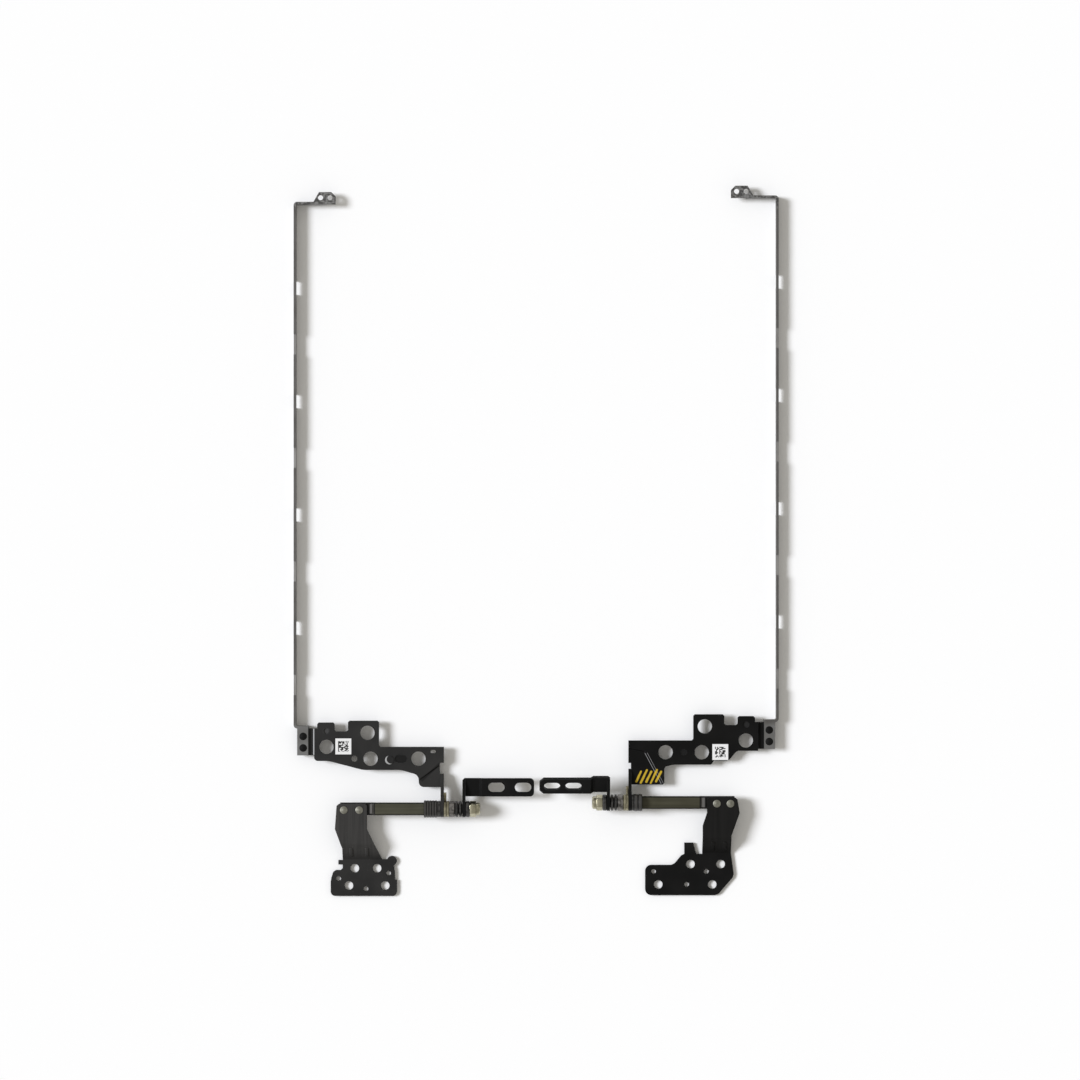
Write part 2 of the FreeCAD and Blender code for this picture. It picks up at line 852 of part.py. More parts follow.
def rail_strip_corners():
    """The strip on edge: a short foot over the tab, the long run and the arm at the top."""
    out = rail_out()
    inner = out - sheet.rail_gauge
    foot_in = flange_in()
    low = sheet.tab_low + sheet.tab_width
    high = sheet.rail_reach - sheet.tip_depth + sheet.rail_gauge
    arm_in = out - sheet.rail_arm
    outer = [(foot_in, low), (out, low), (out, high), (arm_in, high)]
    return outer + [(arm_in, high - sheet.rail_gauge), (inner, high - sheet.rail_gauge),
                    (inner, low + sheet.rail_gauge), (foot_in, low + sheet.rail_gauge)]


def tip_corners(side):
    """The level ear at the rail's top, with a slanted outboard end."""
    tip_in = rail_out() - of_side(side, "tip_inset")
    tip_out = tip_in + sheet.tip_width
    low = sheet.rail_reach - sheet.tip_depth
    high = sheet.rail_reach
    return [(tip_in, low), (tip_out, low), (tip_out, high - sheet.tip_slant_rise),
            (tip_out - sheet.tip_slant_run, high), (tip_in, high)]


def lid_rail(side):
    body = new_body("lid_rail", side)
    corners = outward(side, rail_strip_corners())
    sketch = sketch_on(body, "XY_Plane")
    draw_outline(sketch, corners)
    pad(body, sketch, sheet.lid_top)
    round_edges(body, sheet.rail_bend + sheet.rail_gauge, upright_at(corners[1:3]))
    round_edges(body, sheet.rail_bend, upright_at(corners[5:7]), "Chamfer")
    flat = sheet.lid_top - sheet.rail_gauge
    foot_out = jog_end_out() + sheet.tab_length
    low = sheet.tab_low
    high = sheet.tab_low + sheet.tab_width + sheet.rail_gauge
    sketch = sketch_on(body, "XY_Plane", flat)
    flange = [(flange_in(), low), (foot_out, low), (foot_out, high), (flange_in(), high)]
    draw_outline(sketch, outward(side, flange))
    pad(body, sketch, sheet.rail_gauge)
    sketch = sketch_on(body, "XY_Plane", flat)
    tip = outward(side, tip_corners(side))
    draw_outline(sketch, tip)
    pad(body, sketch, sheet.rail_gauge)
    round_edges(body, sheet.tip_nose, upright_at(tip[-1:]), "Chamfer")
    sketch = sketch_on(body, "XY_Plane")
    for hole in outward(side, rail_rivet_places()):
        draw_round(sketch, hole, sheet.rivet_shank / 2 + sheet.play, SHANK_FLATS)
    for hole in outward(side, tip_holes(side)):
        draw_circle(sketch, hole, sheet.tip_hole / 2)
    cut_through(body, sketch)
    cut_rail_notches(body)
    keep(body, f"{side}_lid_rail")


def cut_rail_notches(body):
    """Clip notches along the lower edge, and shallow reliefs half way between them on the upper edge."""
    sketch = sketch_on(body, "YZ_Plane")
    for index in range(CLIP_COUNT):
        middle = sheet.clip_first + index * sheet.clip_pitch
        draw_window(sketch, middle, sheet.clip_length, -sheet.play, sheet.clip_depth)
        middle = middle - sheet.clip_pitch / 2
        floor = sheet.lid_top - sheet.relief_depth
        draw_window(sketch, middle, sheet.relief_length, floor, sheet.lid_top + sheet.play)
    cut_through(body, sketch)


def draw_window(sketch, middle, length, low, high):
    draw_outline(sketch, [(middle - length / 2, low), (middle + length / 2, low),
                          (middle + length / 2, high), (middle - length / 2, high)])


# Rivets


def rivet(name, side, spot, low, high):
    """One rivet, its shank from low to high and a bevelled head at each end."""
    body = new_body(name, side)
    levels = (low - sheet.rivet_rise, low, high)
    lengths = (sheet.rivet_rise, high - low, sheet.rivet_rise)
    outlines = ((sheet.rivet_head, HEAD_FLATS), (sheet.rivet_shank, SHANK_FLATS),
                (sheet.rivet_head, HEAD_FLATS))
    for level, length, (diameter, flats) in zip(levels, lengths, outlines):
        sketch = sketch_on(body, "XY_Plane", level)
        draw_round(sketch, outward(side, [spot])[0], diameter / 2, flats)
        pad(body, sketch, length)
    crown = (high + sheet.rivet_rise).value
    round_edges(body, sheet.rivet_rise / 2, level_at(crown), "Chamfer")
    return body


def rivet_pair(name, side, spots, low, high):
    rivets = [rivet(f"{name}_{index}", side, spot, low, high) for index, spot in enumerate(spots)]
    group = doc.addObject("Part::Compound", f"{side}_{name}")
    group.Links = rivets
    keep(group, f"{side}_{name}")


def base_rivet_places(side):
    out = of_side(side, "base_rivet_out")
    return [(out, -sheet.base_rivet_drop),
            (out + of_side(side, "base_rivet_pitch"), -sheet.base_rivet_drop)]


# Sticker


def label(side):
    body = new_body("label", side)
    half = sheet.label_side / 2
    out = of_side(side, "label_out")
    up = of_side(side, "label_up")
    sketch = sketch_on(body, "XY_Plane", sheet.lid_top)
    corners = [(out - half, up - half), (out + half, up - half), (out + half, up + half),
               (out - half, up + half)]
    draw_outline(sketch, outward(side, corners))
    pad(body, sketch, sheet.label_film)
    keep(body, f"{side}_label")


# Shaft and friction stack


def collar_face(side):
    """How far out the collar's inner face is: the thrust washer lies between it and the ear."""
    return of_side(side, "thrust") + 2 * sheet.play


def stack_levels():
    """Where each piece of the stack starts, measured inwards from the ear's outboard face."""
    levels = {}
    level = sheet.lid_gauge + sheet.play
    springs = SPRING_COUNT * (sheet.spring_thick + sheet.spring_cone)
    pieces = (("tail", sheet.tail_thick), ("friction", sheet.friction_thick), ("cam", sheet.cam_thick),
              ("springs", springs), ("arm", sheet.arm_gauge), ("end", sheet.end_thick),
              ("nut", sheet.nut_hex), ("nut_collar", sheet.nut_collar - sheet.play))
    for name, thick in pieces:
        levels[name] = level
        level = level + thick + sheet.play
    levels["stub_end"] = level
    return levels


def add_length(body, side, near, far, draw):
    """Pads a cross-section along the shaft between two outward distances."""
    sketch = sketch_on(body, "YZ_Plane", low_x(side, near, far))
    draw(sketch)
    return pad(body, sketch, far - near)


def shaft(side):
    body = new_body("shaft", side, on_axis=True)
    collar_in = collar_face(side)
    collar_out = collar_in + of_side(side, "collar")
    bar_out = collar_out + of_side(side, "bar")
    half = sheet.bar_width / 2
    bar_top = sheet.base_gauge / 2
    tongue_top = -sheet.base_gauge / 2

    def bar_section(sketch, top=bar_top):
        draw_outline(sketch, [(-half, -sheet.bar_below), (half, -sheet.bar_below), (half, top), (-half, top)])

    add_length(body, side, collar_out, bar_out, bar_section)
    edges = [(half, bar_top), (-half, bar_top), (half, -sheet.bar_below), (-half, -sheet.bar_below)]
    round_edges(body, sheet.bar_edge, lengthways_at(edges), "Chamfer")
    add_length(body, side, bar_out, bar_out + sheet.tongue, lambda sketch: bar_section(sketch, tongue_top))
    land_out = of_side(side, "strip_in") - sheet.land_set
    land_half = sheet.land_width / 2
    land_top = tongue_top + sheet.land_rise

    def land_section(sketch):
        draw_outline(sketch, [(-land_half, -sheet.bar_below), (land_half, -sheet.bar_below),
                              (land_half, land_top), (-land_half, land_top)])

    add_length(body, side, land_out - sheet.land_length, land_out, land_section)
    add_length(body, side, collar_in, collar_out,
               lambda sketch: draw_round(sketch, (0, 0), sheet.stack_dia / 2, DISC_FLATS))
    add_length(body, side, -stack_levels()["stub_end"], collar_in,
               lambda sketch: draw_double_d(sketch, sheet.stub_dia, sheet.stub_flats))
    sketch = sketch_on(body, "XY_Plane")
    for spot in outward(side, base_rivet_places(side)):
        draw_round(sketch, spot, sheet.rivet_shank / 2 + sheet.play, SHANK_FLATS)
    cut_through(body, sketch)
    keep(body, f"{side}_shaft")


def ring(name, side, near, far, keyed=True):
    """A disc on the stub between two outward distances, keyed to its flats or free to turn."""
    body = new_body(name, side, on_axis=True)
    add_length(body, side, near, far,
               lambda sketch: draw_round(sketch, (0, 0), sheet.stack_dia / 2, DISC_FLATS))
    sketch = sketch_on(body, "YZ_Plane")
    if keyed:
        draw_double_d(sketch, sheet.stub_dia + 2 * sheet.play, sheet.stub_flats + 2 * sheet.play)
    else:
        draw_round(sketch, (0, 0), sheet.stub_dia / 2 + sheet.play, SHANK_FLATS)
    cut_through(body, sketch)
    return body


def stack_ring(name, side, level, thick):
    start = stack_levels()[level]
    keep(ring(name, side, -(start + thick), -start), f"{side}_{name}")


def draw_hook(sketch, centre, clear):
    """The end of the tail that goes through the ear, or its slot with a clearance all round."""
    half = sheet.tail_width / 2 + clear
    near = centre[0] + sheet.tail_reach - sheet.tail_hook - clear
    far = centre[0] + sheet.tail_reach + clear
    up = centre[1]
    draw_outline(sketch, [(near, up - half), (far, up - half), (far, up + half), (near, up + half)])


def tail_washer(side):
    """A washer whose tail lies along the ear and hooks into it, so that it turns with the lid."""
    start = stack_levels()["tail"]
    body = ring("tail_washer", side, -(start + sheet.tail_thick), -start, keyed=False)
    half = sheet.tail_width / 2
    inner = sheet.stub_dia / 2 + sheet.tail_width / 2

    def tail(sketch):
        draw_outline(sketch, [(inner, -half), (sheet.tail_reach, -half), (sheet.tail_reach, half),
                              (inner, half)])

    add_length(body, side, -(start + sheet.tail_thick), -start, tail)
    add_length(body, side, -start, 0 * start, lambda sketch: draw_hook(sketch, (0, 0), 0))
    keep(body, f"{side}_tail_washer")


def disc_spring(side, index):
    """One coned washer; every second one is turned over, so that rims meet rims."""
    body = new_body(f"disc_spring_{index}", side, on_axis=True)
    step = sheet.spring_thick + sheet.spring_cone
    near = -(stack_levels()["springs"] + index * step)
    far = near - step + sheet.play
    rim = sheet.stack_dia / 2
    add_length(body, side, far, near, lambda sketch: draw_round(sketch, (0, 0), rim, DISC_FLATS))
    bevelled = near if index % 2 == 0 else far
    level = SIDES[side] * bevelled.value

    def at_rim(edge):
        return edge.BoundBox.XLength < NEAR and abs(edge.BoundBox.XMin - level) < NEAR

    round_edges(body, sheet.spring_cone, at_rim, "Chamfer")
    sketch = sketch_on(body, "YZ_Plane")
    draw_round(sketch, (0, 0), sheet.stub_dia / 2 + sheet.play, SHANK_FLATS)
    cut_through(body, sketch)
    return body


def disc_springs(side):
    group = doc.addObject("Part::Compound", f"{side}_disc_springs")
    group.Links = [disc_spring(side, index) for index in range(SPRING_COUNT)]
    keep(group, f"{side}_disc_springs")


def lock_nut(side):
    """A hexagon nut with a round locking collar at its outer end."""
    body = new_body("lock_nut", side, on_axis=True)
    levels = stack_levels()
    half = sheet.nut_flats / 2
    corner = sheet.nut_flats / root(as_size(3))
    hexagon = [(corner, 0), (corner / 2, half), (-corner / 2, half), (-corner, 0), (-corner / 2, -half),
               (corner / 2, -half)]
    face = levels["nut"] + sheet.nut_hex
    add_length(body, side, -face, -levels["nut"], lambda sketch: draw_outline(sketch, hexagon))
    add_length(body, side, -(face + sheet.nut_collar), -face,
               lambda sketch: draw_round(sketch, (0, 0), sheet.nut_collar_dia / 2, HEAD_FLATS))
    sketch = sketch_on(body, "YZ_Plane")
    draw_round(sketch, (0, 0), sheet.stub_dia / 2 + sheet.play, SHANK_FLATS)
    cut_through(body, sketch)
    keep(body, f"{side}_lock_nut")


# Support arm


def arm_profile(side):
    """The arm's section along the shaft: level from its ear, then one joggle up to the slotted end."""
    near = stack_levels()["arm"]
    low = -sheet.arm_under
    step_out = sheet.arm_step_in + sheet.arm_joggle
    end = of_side(side, "arm_end")
    gauge = sheet.arm_gauge
    high = low + sheet.arm_joggle
    return [(-near, low), (-sheet.arm_step_in, low), (-step_out, high), (-end, high), (-end, high + gauge),
            (-step_out, high + gauge), (-sheet.arm_step_in, low + gauge), (-near, low + gauge)]


def support_arm(side):
    body = new_body("support_arm", side, on_axis=True)
    if side == "right":
        body.Placement.Rotation = FreeCAD.Rotation(FreeCAD.Vector(1, 0, 0), sheet.right_arm_turn.value)
        bind(body, "Placement.Rotation.Angle", sheet.right_arm_turn)
    high = sheet.arm_low + sheet.arm_width
    sketch = sketch_on(body, "XZ_Plane", -sheet.arm_low)
    draw_outline(sketch, outward(side, arm_profile(side)))
    pad(body, sketch, sheet.arm_width, backwards=True)
    near = stack_levels()["arm"]
    low = -sheet.arm_under

    def ear(sketch):
        draw_lug(sketch, (0, 0), sheet.ear_radius,
                 [(high, low + sheet.arm_gauge), (high, low), (sheet.arm_low, low)])

    add_length(body, side, -(near + sheet.arm_gauge), -near, ear)
    end = -of_side(side, "arm_end")
    ends = outward(side, [(end, sheet.arm_low), (end, high)])
    round_edges(body, sheet.arm_corner, upright_at(ends), "Fillet" if side == "left" else "Chamfer")
    round_edges(body, sheet.arm_neck_corner, upright_at(outward(side, [(-near, high)])), "Chamfer")
    sketch = sketch_on(body, "XY_Plane")
    first = of_side(side, "slot_in")
    middle = sheet.arm_low + sheet.arm_width / 2
    for slot_in in (first, first + of_side(side, "slot_pitch")):
        draw_slot(sketch, outward(side, [(-slot_in, middle)])[0], sheet.arm_slot_length, sheet.arm_slot_width)
    cut_through(body, sketch)
    sketch = sketch_on(body, "YZ_Plane")
    draw_round(sketch, (0, 0), sheet.stub_dia / 2 + sheet.play, DISC_FLATS)
    cut_through(body, sketch)
    keep(body, f"{side}_support_arm")


# Base bracket


def foot_back(side):
    """The line along which the ramp comes down to the foot."""
    return of_side(side, "foot_depth") - of_side(side, "foot_reach")


def on_foot(side, alias):
    """A line across the foot, set in from its front edge."""
    return of_side(side, alias) - of_side(side, "foot_reach")


def strip_corners(side):
    """The strip on the tongue and its ramp, in plan, run on a little way into the foot."""
    run_on = foot_back(side) - sheet.base_gauge
    strip_in = of_side(side, "strip_in")
    strip_out = strip_in + of_side(side, "strip_width")
    waist = (of_side(side, "waist_out"), -of_side(side, "waist_down"))
    outer = [(waist[0], run_on), waist,
             (strip_out + of_side(side, "strip_bulge"), -of_side(side, "bulge_down")),
             (strip_out, sheet.strip_top)]
    inner = [(strip_in, sheet.strip_top)]
    if side == "left":
        inner += [(strip_in, -sheet.left_bulge_down), (sheet.left_spread_in, run_on)]
    else:
        inner += [(strip_in, -sheet.right_bulge_down), (sheet.right_neck_in, -sheet.right_neck_down),
                  (sheet.right_neck_in, run_on)]
    return outer + inner


def fold_strip(body, side):
    """Cuts the padded strip down to one sheet thickness: level, down the ramp and level again."""
    top = sheet.axis_height + sheet.base_gauge / 2
    drop = top - sheet.base_gauge
    run = sheet.ramp_run
    slope = root(run * run + drop * drop)
    shift = sheet.base_gauge * (slope - run) / drop
    ramp_end = foot_back(side)
    ramp_start = ramp_end + run
    past = ramp_end - 2 * sheet.base_gauge
    upper = [(ramp_start, top), (ramp_end, sheet.base_gauge)]
    lower = [(shift + ramp_start, drop), (shift + ramp_end, 0)]
    sketch = sketch_on(body, "YZ_Plane")
    draw_outline(sketch, upper + [(past, sheet.base_gauge), (past, top + sheet.base_gauge),
                                  (ramp_start, top + sheet.base_gauge)])
    cut_through(body, sketch)
    sketch = sketch_on(body, "YZ_Plane")
    behind = sheet.strip_top + sheet.base_gauge
    draw_outline(sketch, [(behind, drop)] + lower + [(shift + ramp_end, -sheet.base_gauge),
                                                     (behind, -sheet.base_gauge)])
    cut_through(body, sketch)
    round_edges(body, sheet.base_fold, lengthways_at([upper[1], lower[0]]))
    round_edges(body, sheet.base_fold + sheet.base_gauge, lengthways_at([upper[0]]))


def left_foot_corners():
    back = foot_back("left")
    shoulder = on_foot("left", "shoulder_inset")
    ledge = on_foot("left", "ledge_inset")
    front = -sheet.left_foot_reach
    foot_out = sheet.left_foot_in + sheet.left_foot_width
    ledge_in = sheet.left_foot_in + sheet.left_ledge
    return [(sheet.left_waist_out, back), (sheet.left_waist_out, shoulder),
            (foot_out - sheet.left_shoulder_set, shoulder), (foot_out, ledge),
            (foot_out, front), (sheet.left_foot_in, front),
            (sheet.left_foot_in, ledge), (ledge_in, ledge),
            (ledge_in, shoulder), (sheet.left_knob_out, back), (sheet.left_spread_in, back)]


def right_foot_corners():
    back = foot_back("right")
    shoulder = on_foot("right", "shoulder_inset")
    brow = on_foot("right", "brow_inset")
    front = -sheet.right_foot_reach
    foot_out = sheet.right_foot_in + sheet.right_foot_width
    return [(sheet.right_waist_out, back), (foot_out, on_foot("right", "chamfer_inset")),
            (sheet.right_chamfer_out, front), (sheet.right_foot_in, front),
            (sheet.right_foot_in, shoulder), (sheet.right_shoulder_out, shoulder),
            (sheet.right_brow_out, brow), (sheet.right_neck_in, brow), (sheet.right_neck_in, back)]


def add_left_trim(body):
    """The round knob and the small square stop on the left foot's edges."""
    side = "left"
    sketch = sketch_on(body, "XY_Plane")
    knob = outward(side, [(sheet.left_knob_out, on_foot(side, "knob_inset"))])[0]
    draw_round(sketch, knob, sheet.left_knob_radius, DISC_FLATS)
    pad(body, sketch, sheet.base_gauge)
    high = on_foot(side, "stop_inset")
    low = high - sheet.left_stop_size
    out = sheet.left_waist_out + sheet.left_stop_size
    root_out = sheet.left_waist_out - sheet.left_stop_size
    sketch = sketch_on(body, "XY_Plane")
    draw_outline(sketch, outward(side, [(root_out, low), (out, low), (out, high), (root_out, high)]))
    pad(body, sketch, sheet.base_gauge)


def add_right_trim(body):
    """The finger that points back from the right foot."""
    out = sheet.right_finger_out
    finger_root = on_foot("right", "brow_inset") - sheet.base_gauge
    tip = on_foot("right", "finger_inset")
    sketch = sketch_on(body, "XY_Plane")
    draw_outline(sketch, outward("right", [(out, finger_root), (out, tip), (out + sheet.right_finger_width, tip),
                                           (out + sheet.right_finger_root, finger_root)]))
    pad(body, sketch, sheet.base_gauge)


def screw_holes(side):
    holes = []
    rows = (("upper", foot_back(side) - of_side(side, "upper_screw_set")),
            ("lower", on_foot(side, "lower_screw_inset")))
    for row, up in rows:
        out = of_side(side, f"{row}_screw_out")
        holes += [(out, up), (out + of_side(side, f"{row}_screw_pitch"), up)]
    return holes


def peg_holes(side):
    return [(of_side(side, f"{which}_peg_out"), on_foot(side, f"{which}_peg_inset"))
            for which in ("outer", "inner", "middle")]


def base_bracket(side):
    body = new_body("base_bracket", side)
    strip = outward(side, strip_corners(side))
    sketch = sketch_on(body, "XY_Plane")
    draw_outline(sketch, strip)
    pad(body, sketch, sheet.axis_height + sheet.base_gauge / 2)
    fold_strip(body, side)
    round_edges(body, sheet.base_corner, upright_at(strip[3:5]), "Chamfer")
    foot = left_foot_corners() if side == "left" else right_foot_corners()
    foot = outward(side, foot)
    sketch = sketch_on(body, "XY_Plane")
    draw_outline(sketch, foot)
    pad(body, sketch, sheet.base_gauge)
    rounded, blunted = foot[4:6], foot[1:4] + foot[8:9]
    if side == "right":
        rounded, blunted = foot[3:5], foot[1:3] + foot[5:7]
    round_edges(body, of_side(side, "foot_corner"), upright_at(rounded))
    round_edges(body, sheet.base_corner, upright_at(blunted), "Chamfer")
    if side == "left":
        add_left_trim(body)
    else:
        add_right_trim(body)
    sketch = sketch_on(body, "XY_Plane")
    for hole in outward(side, screw_holes(side)):
        draw_circle(sketch, hole, sheet.screw_hole / 2)
    for hole in outward(side, peg_holes(side)):
        draw_circle(sketch, hole, sheet.peg_hole / 2)
    for hole in outward(side, base_rivet_places(side)):
        draw_round(sketch, hole, sheet.rivet_shank / 2 + sheet.play, SHANK_FLATS)
    cut_through(body, sketch)
    keep(body, f"{side}_base_bracket")


# The two hinges


def hinge(side):
    lid_bracket(side)
    lid_rail(side)
    tab_floor = sheet.lid_top - sheet.lid_gauge - sheet.rail_gauge
    rivet_pair("rail_rivets", side, rail_rivet_places(), tab_floor, sheet.lid_top)
    label(side)
    tail_washer(side)
    base_bracket(side)
    shaft(side)
    rivet_pair("base_rivets", side, base_rivet_places(side), sheet.axis_height - sheet.bar_below,
               sheet.axis_height + sheet.base_gauge / 2)
    thrust = of_side(side, "thrust")
    keep(ring("thrust_washer", side, sheet.play, sheet.play + thrust), f"{side}_thrust_washer")
    stack_ring("friction_washer", side, "friction", sheet.friction_thick)
    stack_ring("cam_disc", side, "cam", sheet.cam_thick)
    disc_springs(side)
    support_arm(side)
    stack_ring("end_washer", side, "end", sheet.end_thick)
    lock_nut(side)


def write_parts():
    doc.recompute()
    for item in doc.Objects:
        require("Invalid" not in item.State and "Error" not in item.State, f"{item.Name} failed")
    os.makedirs("parts", exist_ok=True)
    for item in sub_parts:
        shape = item.Shape
        require(not shape.isNull() and shape.isValid(), f"{item.Label} has no valid shape")
        shape.exportStep(f"parts/{item.Label}.step")
        print(f"{item.Label}: {len(shape.Solids)} solid(s), {shape.Volume:.1f} cubic millimetres")


for each_side in SIDES:
    hinge(each_side)
write_parts()
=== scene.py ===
# %% [markdown]
# # A pair of laptop hinges, dressed for a photograph
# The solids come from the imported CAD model: bent plates, edge rails, shafts and a stack of washers.
# The plates already have their real shape, so they stay and only get a finish. The small turned
# pieces on each shaft are drawn with flats in the CAD to keep it light, so they are turned again here
# with smooth rims, and each new piece stands for the solid that it covers.

# %% Load the frame
import math

import bmesh
import bpy
from mathutils import Matrix, Vector


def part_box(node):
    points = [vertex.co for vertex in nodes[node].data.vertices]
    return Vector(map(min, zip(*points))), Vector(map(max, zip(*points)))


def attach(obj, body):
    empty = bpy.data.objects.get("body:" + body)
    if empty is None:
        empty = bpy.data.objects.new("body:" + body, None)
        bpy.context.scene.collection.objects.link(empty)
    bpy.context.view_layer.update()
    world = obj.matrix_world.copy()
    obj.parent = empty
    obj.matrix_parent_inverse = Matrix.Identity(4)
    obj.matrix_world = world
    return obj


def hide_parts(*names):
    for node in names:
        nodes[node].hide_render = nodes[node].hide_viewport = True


MM = 0.001
SIDES = ("left", "right")
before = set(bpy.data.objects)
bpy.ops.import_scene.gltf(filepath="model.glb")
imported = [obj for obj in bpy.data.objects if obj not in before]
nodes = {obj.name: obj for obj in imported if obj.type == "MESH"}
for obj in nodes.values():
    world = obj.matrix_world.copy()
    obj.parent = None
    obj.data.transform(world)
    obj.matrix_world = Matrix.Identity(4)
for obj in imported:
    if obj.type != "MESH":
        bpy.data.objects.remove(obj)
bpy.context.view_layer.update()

# %% [markdown]
# ## Where things are
# Each hinge is laid out from its own shaft. Places on a bracket are given in millimetres, outwards from
# the face of the ear that the shaft runs through, and up from the shaft's axis, as on a drawing.

# %% Places on a hinge
OUTWARD = {"left": -1, "right": 1}
EAR = 37.2 * MM


def shaft_point(side):
    """A point on a shaft's axis, in the middle of its cam disc."""
    low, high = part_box(f"{side}_cam_disc")
    return (low + high) / 2


AXIS = {side: shaft_point(side) for side in SIDES}


def on_plate(side, out, up):
    """A plan point on a bracket, from millimetres out from the ear and up from the axis."""
    return OUTWARD[side] * (EAR + out * MM), AXIS[side].y + up * MM


def line_on_plate(side, ends):
    """Two such points, the ends of a line."""
    return [on_plate(side, *end) for end in ends]


print("axes:", AXIS)

# %% [markdown]
# ## Finishes as expressions
# A finish is a small network of shader nodes. Drawing it by hand is slow to read, so a value in the
# network is wrapped in a class with the usual operators: writing `1 - mask * 0.5` adds the Math nodes.
# Every other node comes from one method that takes its type, its settings and its inputs.

# %% The value in a finish


class Wire:
    """One value in a finish; the operators add Math nodes."""

    def __init__(self, finish, socket):
        self.finish = finish
        self.socket = socket

    def math(self, operation, first, second=0.0):
        return self.finish.node("ShaderNodeMath", {"operation": operation}, {0: first, 1: second})

    def __add__(self, other):
        return self.math("ADD", self, other)

    def __radd__(self, other):
        return self.math("ADD", other, self)

    def __sub__(self, other):
        return self.math("SUBTRACT", self, other)

    def __rsub__(self, other):
        return self.math("SUBTRACT", other, self)

    def __mul__(self, other):
        return self.math("MULTIPLY", self, other)

    def __rmul__(self, other):
        return self.math("MULTIPLY", other, self)

    def __truediv__(self, other):
        return self.math("DIVIDE", self, other)

    def __gt__(self, other):
        return self.math("GREATER_THAN", self, other)

    def __lt__(self, other):
        return self.math("LESS_THAN", self, other)

    def __abs__(self):
        return self.math("ABSOLUTE", self)

    def root(self):
        return self.math("SQRT", self)

    def smaller(self, other):
        return self.math("MINIMUM", self, other)

    def held(self):
        """The value, kept between 0 and 1."""
        return self.finish.node("ShaderNodeClamp", {}, {"Value": self})

    def fade(self, start, end):
        """0 at start and 1 at end, smooth between them."""
        settings = {"interpolation_type": "SMOOTHSTEP"}
        return self.finish.node("ShaderNodeMapRange", settings, {"Value": self, 1: start, 2: end})


# %% [markdown]
# A finish holds one material and its Principled shader. Its methods make what all the finishes share: the
# place of a point, noise, one colour over another, a mask of the sharp edges, and a bump.

# %% The finish itself
BEVEL_SAMPLES = 6
STILL_FLAT = 0.99
ALL_EDGE = 0.86


class Finish:
    """One material, built round a Principled shader."""

    def __init__(self, name):
        self.material = bpy.data.materials.new(name)
        self.material.use_nodes = True
        self.tree = self.material.node_tree
        self.shader = self.tree.nodes["Principled BSDF"]
        self.coords = self.node("ShaderNodeTexCoord", {}, {}, "Object")
        split = self.node("ShaderNodeSeparateXYZ", {}, {0: self.coords}, "X")
        self.x, self.y, self.z = (Wire(self, out) for out in split.socket.node.outputs)

    def node(self, kind, settings, inputs, output=0):
        made = self.tree.nodes.new(kind)
        for name, value in settings.items():
            setattr(made, name, value)
        for name, value in inputs.items():
            self.connect(made.inputs[name], value)
        return Wire(self, made.outputs[output])

    def connect(self, socket, value):
        if isinstance(value, Wire):
            self.tree.links.new(value.socket, socket)
        else:
            socket.default_value = value

    def set(self, **values):
        for name, value in values.items():
            self.connect(self.shader.inputs[name.replace("_", " ")], value)

    def noise(self, scale, detail=2.0, stretch=(1, 1, 1)):
        """Noise at so many features a metre, drawn out along an axis where stretch is below 1."""
        place = self.node("ShaderNodeMapping", {}, {"Vector": self.coords, "Scale": stretch})
        return self.node("ShaderNodeTexNoise", {}, {"Vector": place, "Scale": scale, "Detail": detail})

    def blend(self, mask, under, over):
        """One colour over another where the mask is 1."""
        return self.node("ShaderNodeMix", {"data_type": "RGBA"}, {0: mask, 6: under, 7: over}, 2)

    def paint(self, mask, colour):
        """Lays a colour over the base colour that the finish has so far, where the mask is 1."""
        under = Wire(self, self.shader.inputs["Base Color"].links[0].from_socket)
        self.set(Base_Color=self.blend(mask, under, colour))

    def edges(self, radius):
        """1 on sharp edges and 0 on flats: how far a rounded normal leans away from the true one."""
        rounded = self.node("ShaderNodeBevel", {"samples": BEVEL_SAMPLES}, {"Radius": radius})
        true = self.node("ShaderNodeNewGeometry", {}, {}, "Normal")
        dot = {"operation": "DOT_PRODUCT"}
        facing = self.node("ShaderNodeVectorMath", dot, {0: rounded, 1: true}, "Value")
        return facing.fade(STILL_FLAT, ALL_EDGE)

    def bump(self, height, distance, strength=0.5):
        settings = {"Height": height, "Distance": distance, "Strength": strength}
        self.set(Normal=self.node("ShaderNodeBump", {}, settings))


def grey(level, warm=0.0):
    """A grey, or a faintly yellow one where warm is above 0."""
    return (level * (1 + warm), level, level * (1 - warm), 1)


# %% [markdown]
# ## Black dip coat
# The brackets are steel sheet, dipped and coated black. The coat is satin, faintly uneven like orange
# peel, duller in patches where hands have been, and rubbed thin along sharp edges. The left hinge is
# more charcoal than the right one, so one function makes both. A Bevel node finds the edges: it rounds
# the normal there, and the difference from the true normal is the mask.

# %% Coat
SHINE = {"left": 0.20, "right": 0.10}
WORN_EDGE = 0.22 * MM
PEEL_DEPTH = 0.06 * MM


def coat(name, level, side):
    """A dip coat of one grey level, as shiny as that side's hinge is."""
    finish = Finish(name)
    patches = finish.noise(90, 3).fade(0.3, 0.75)
    specks = finish.noise(1900, 1).fade(0.72, 0.78)
    worn = finish.edges(WORN_EDGE) * finish.noise(500, 3).fade(0.35, 0.65)
    colour = finish.blend(patches, grey(level), grey(level * 1.45, 0.03))
    colour = finish.blend(specks * 0.3, colour, grey(level * 6))
    colour = finish.blend(worn * 0.6, colour, grey(0.05 + level * 4))
    finish.set(Base_Color=colour, Roughness=0.42 + 0.14 * patches - 0.1 * worn, Metallic=0.0)
    finish.set(Specular_IOR_Level=SHINE[side])
    finish.bump(finish.noise(2600, 2), PEEL_DEPTH)
    return finish


black = coat("black_coat", 0.005, "right")
print("arms and rail rivets:", black.material.name)

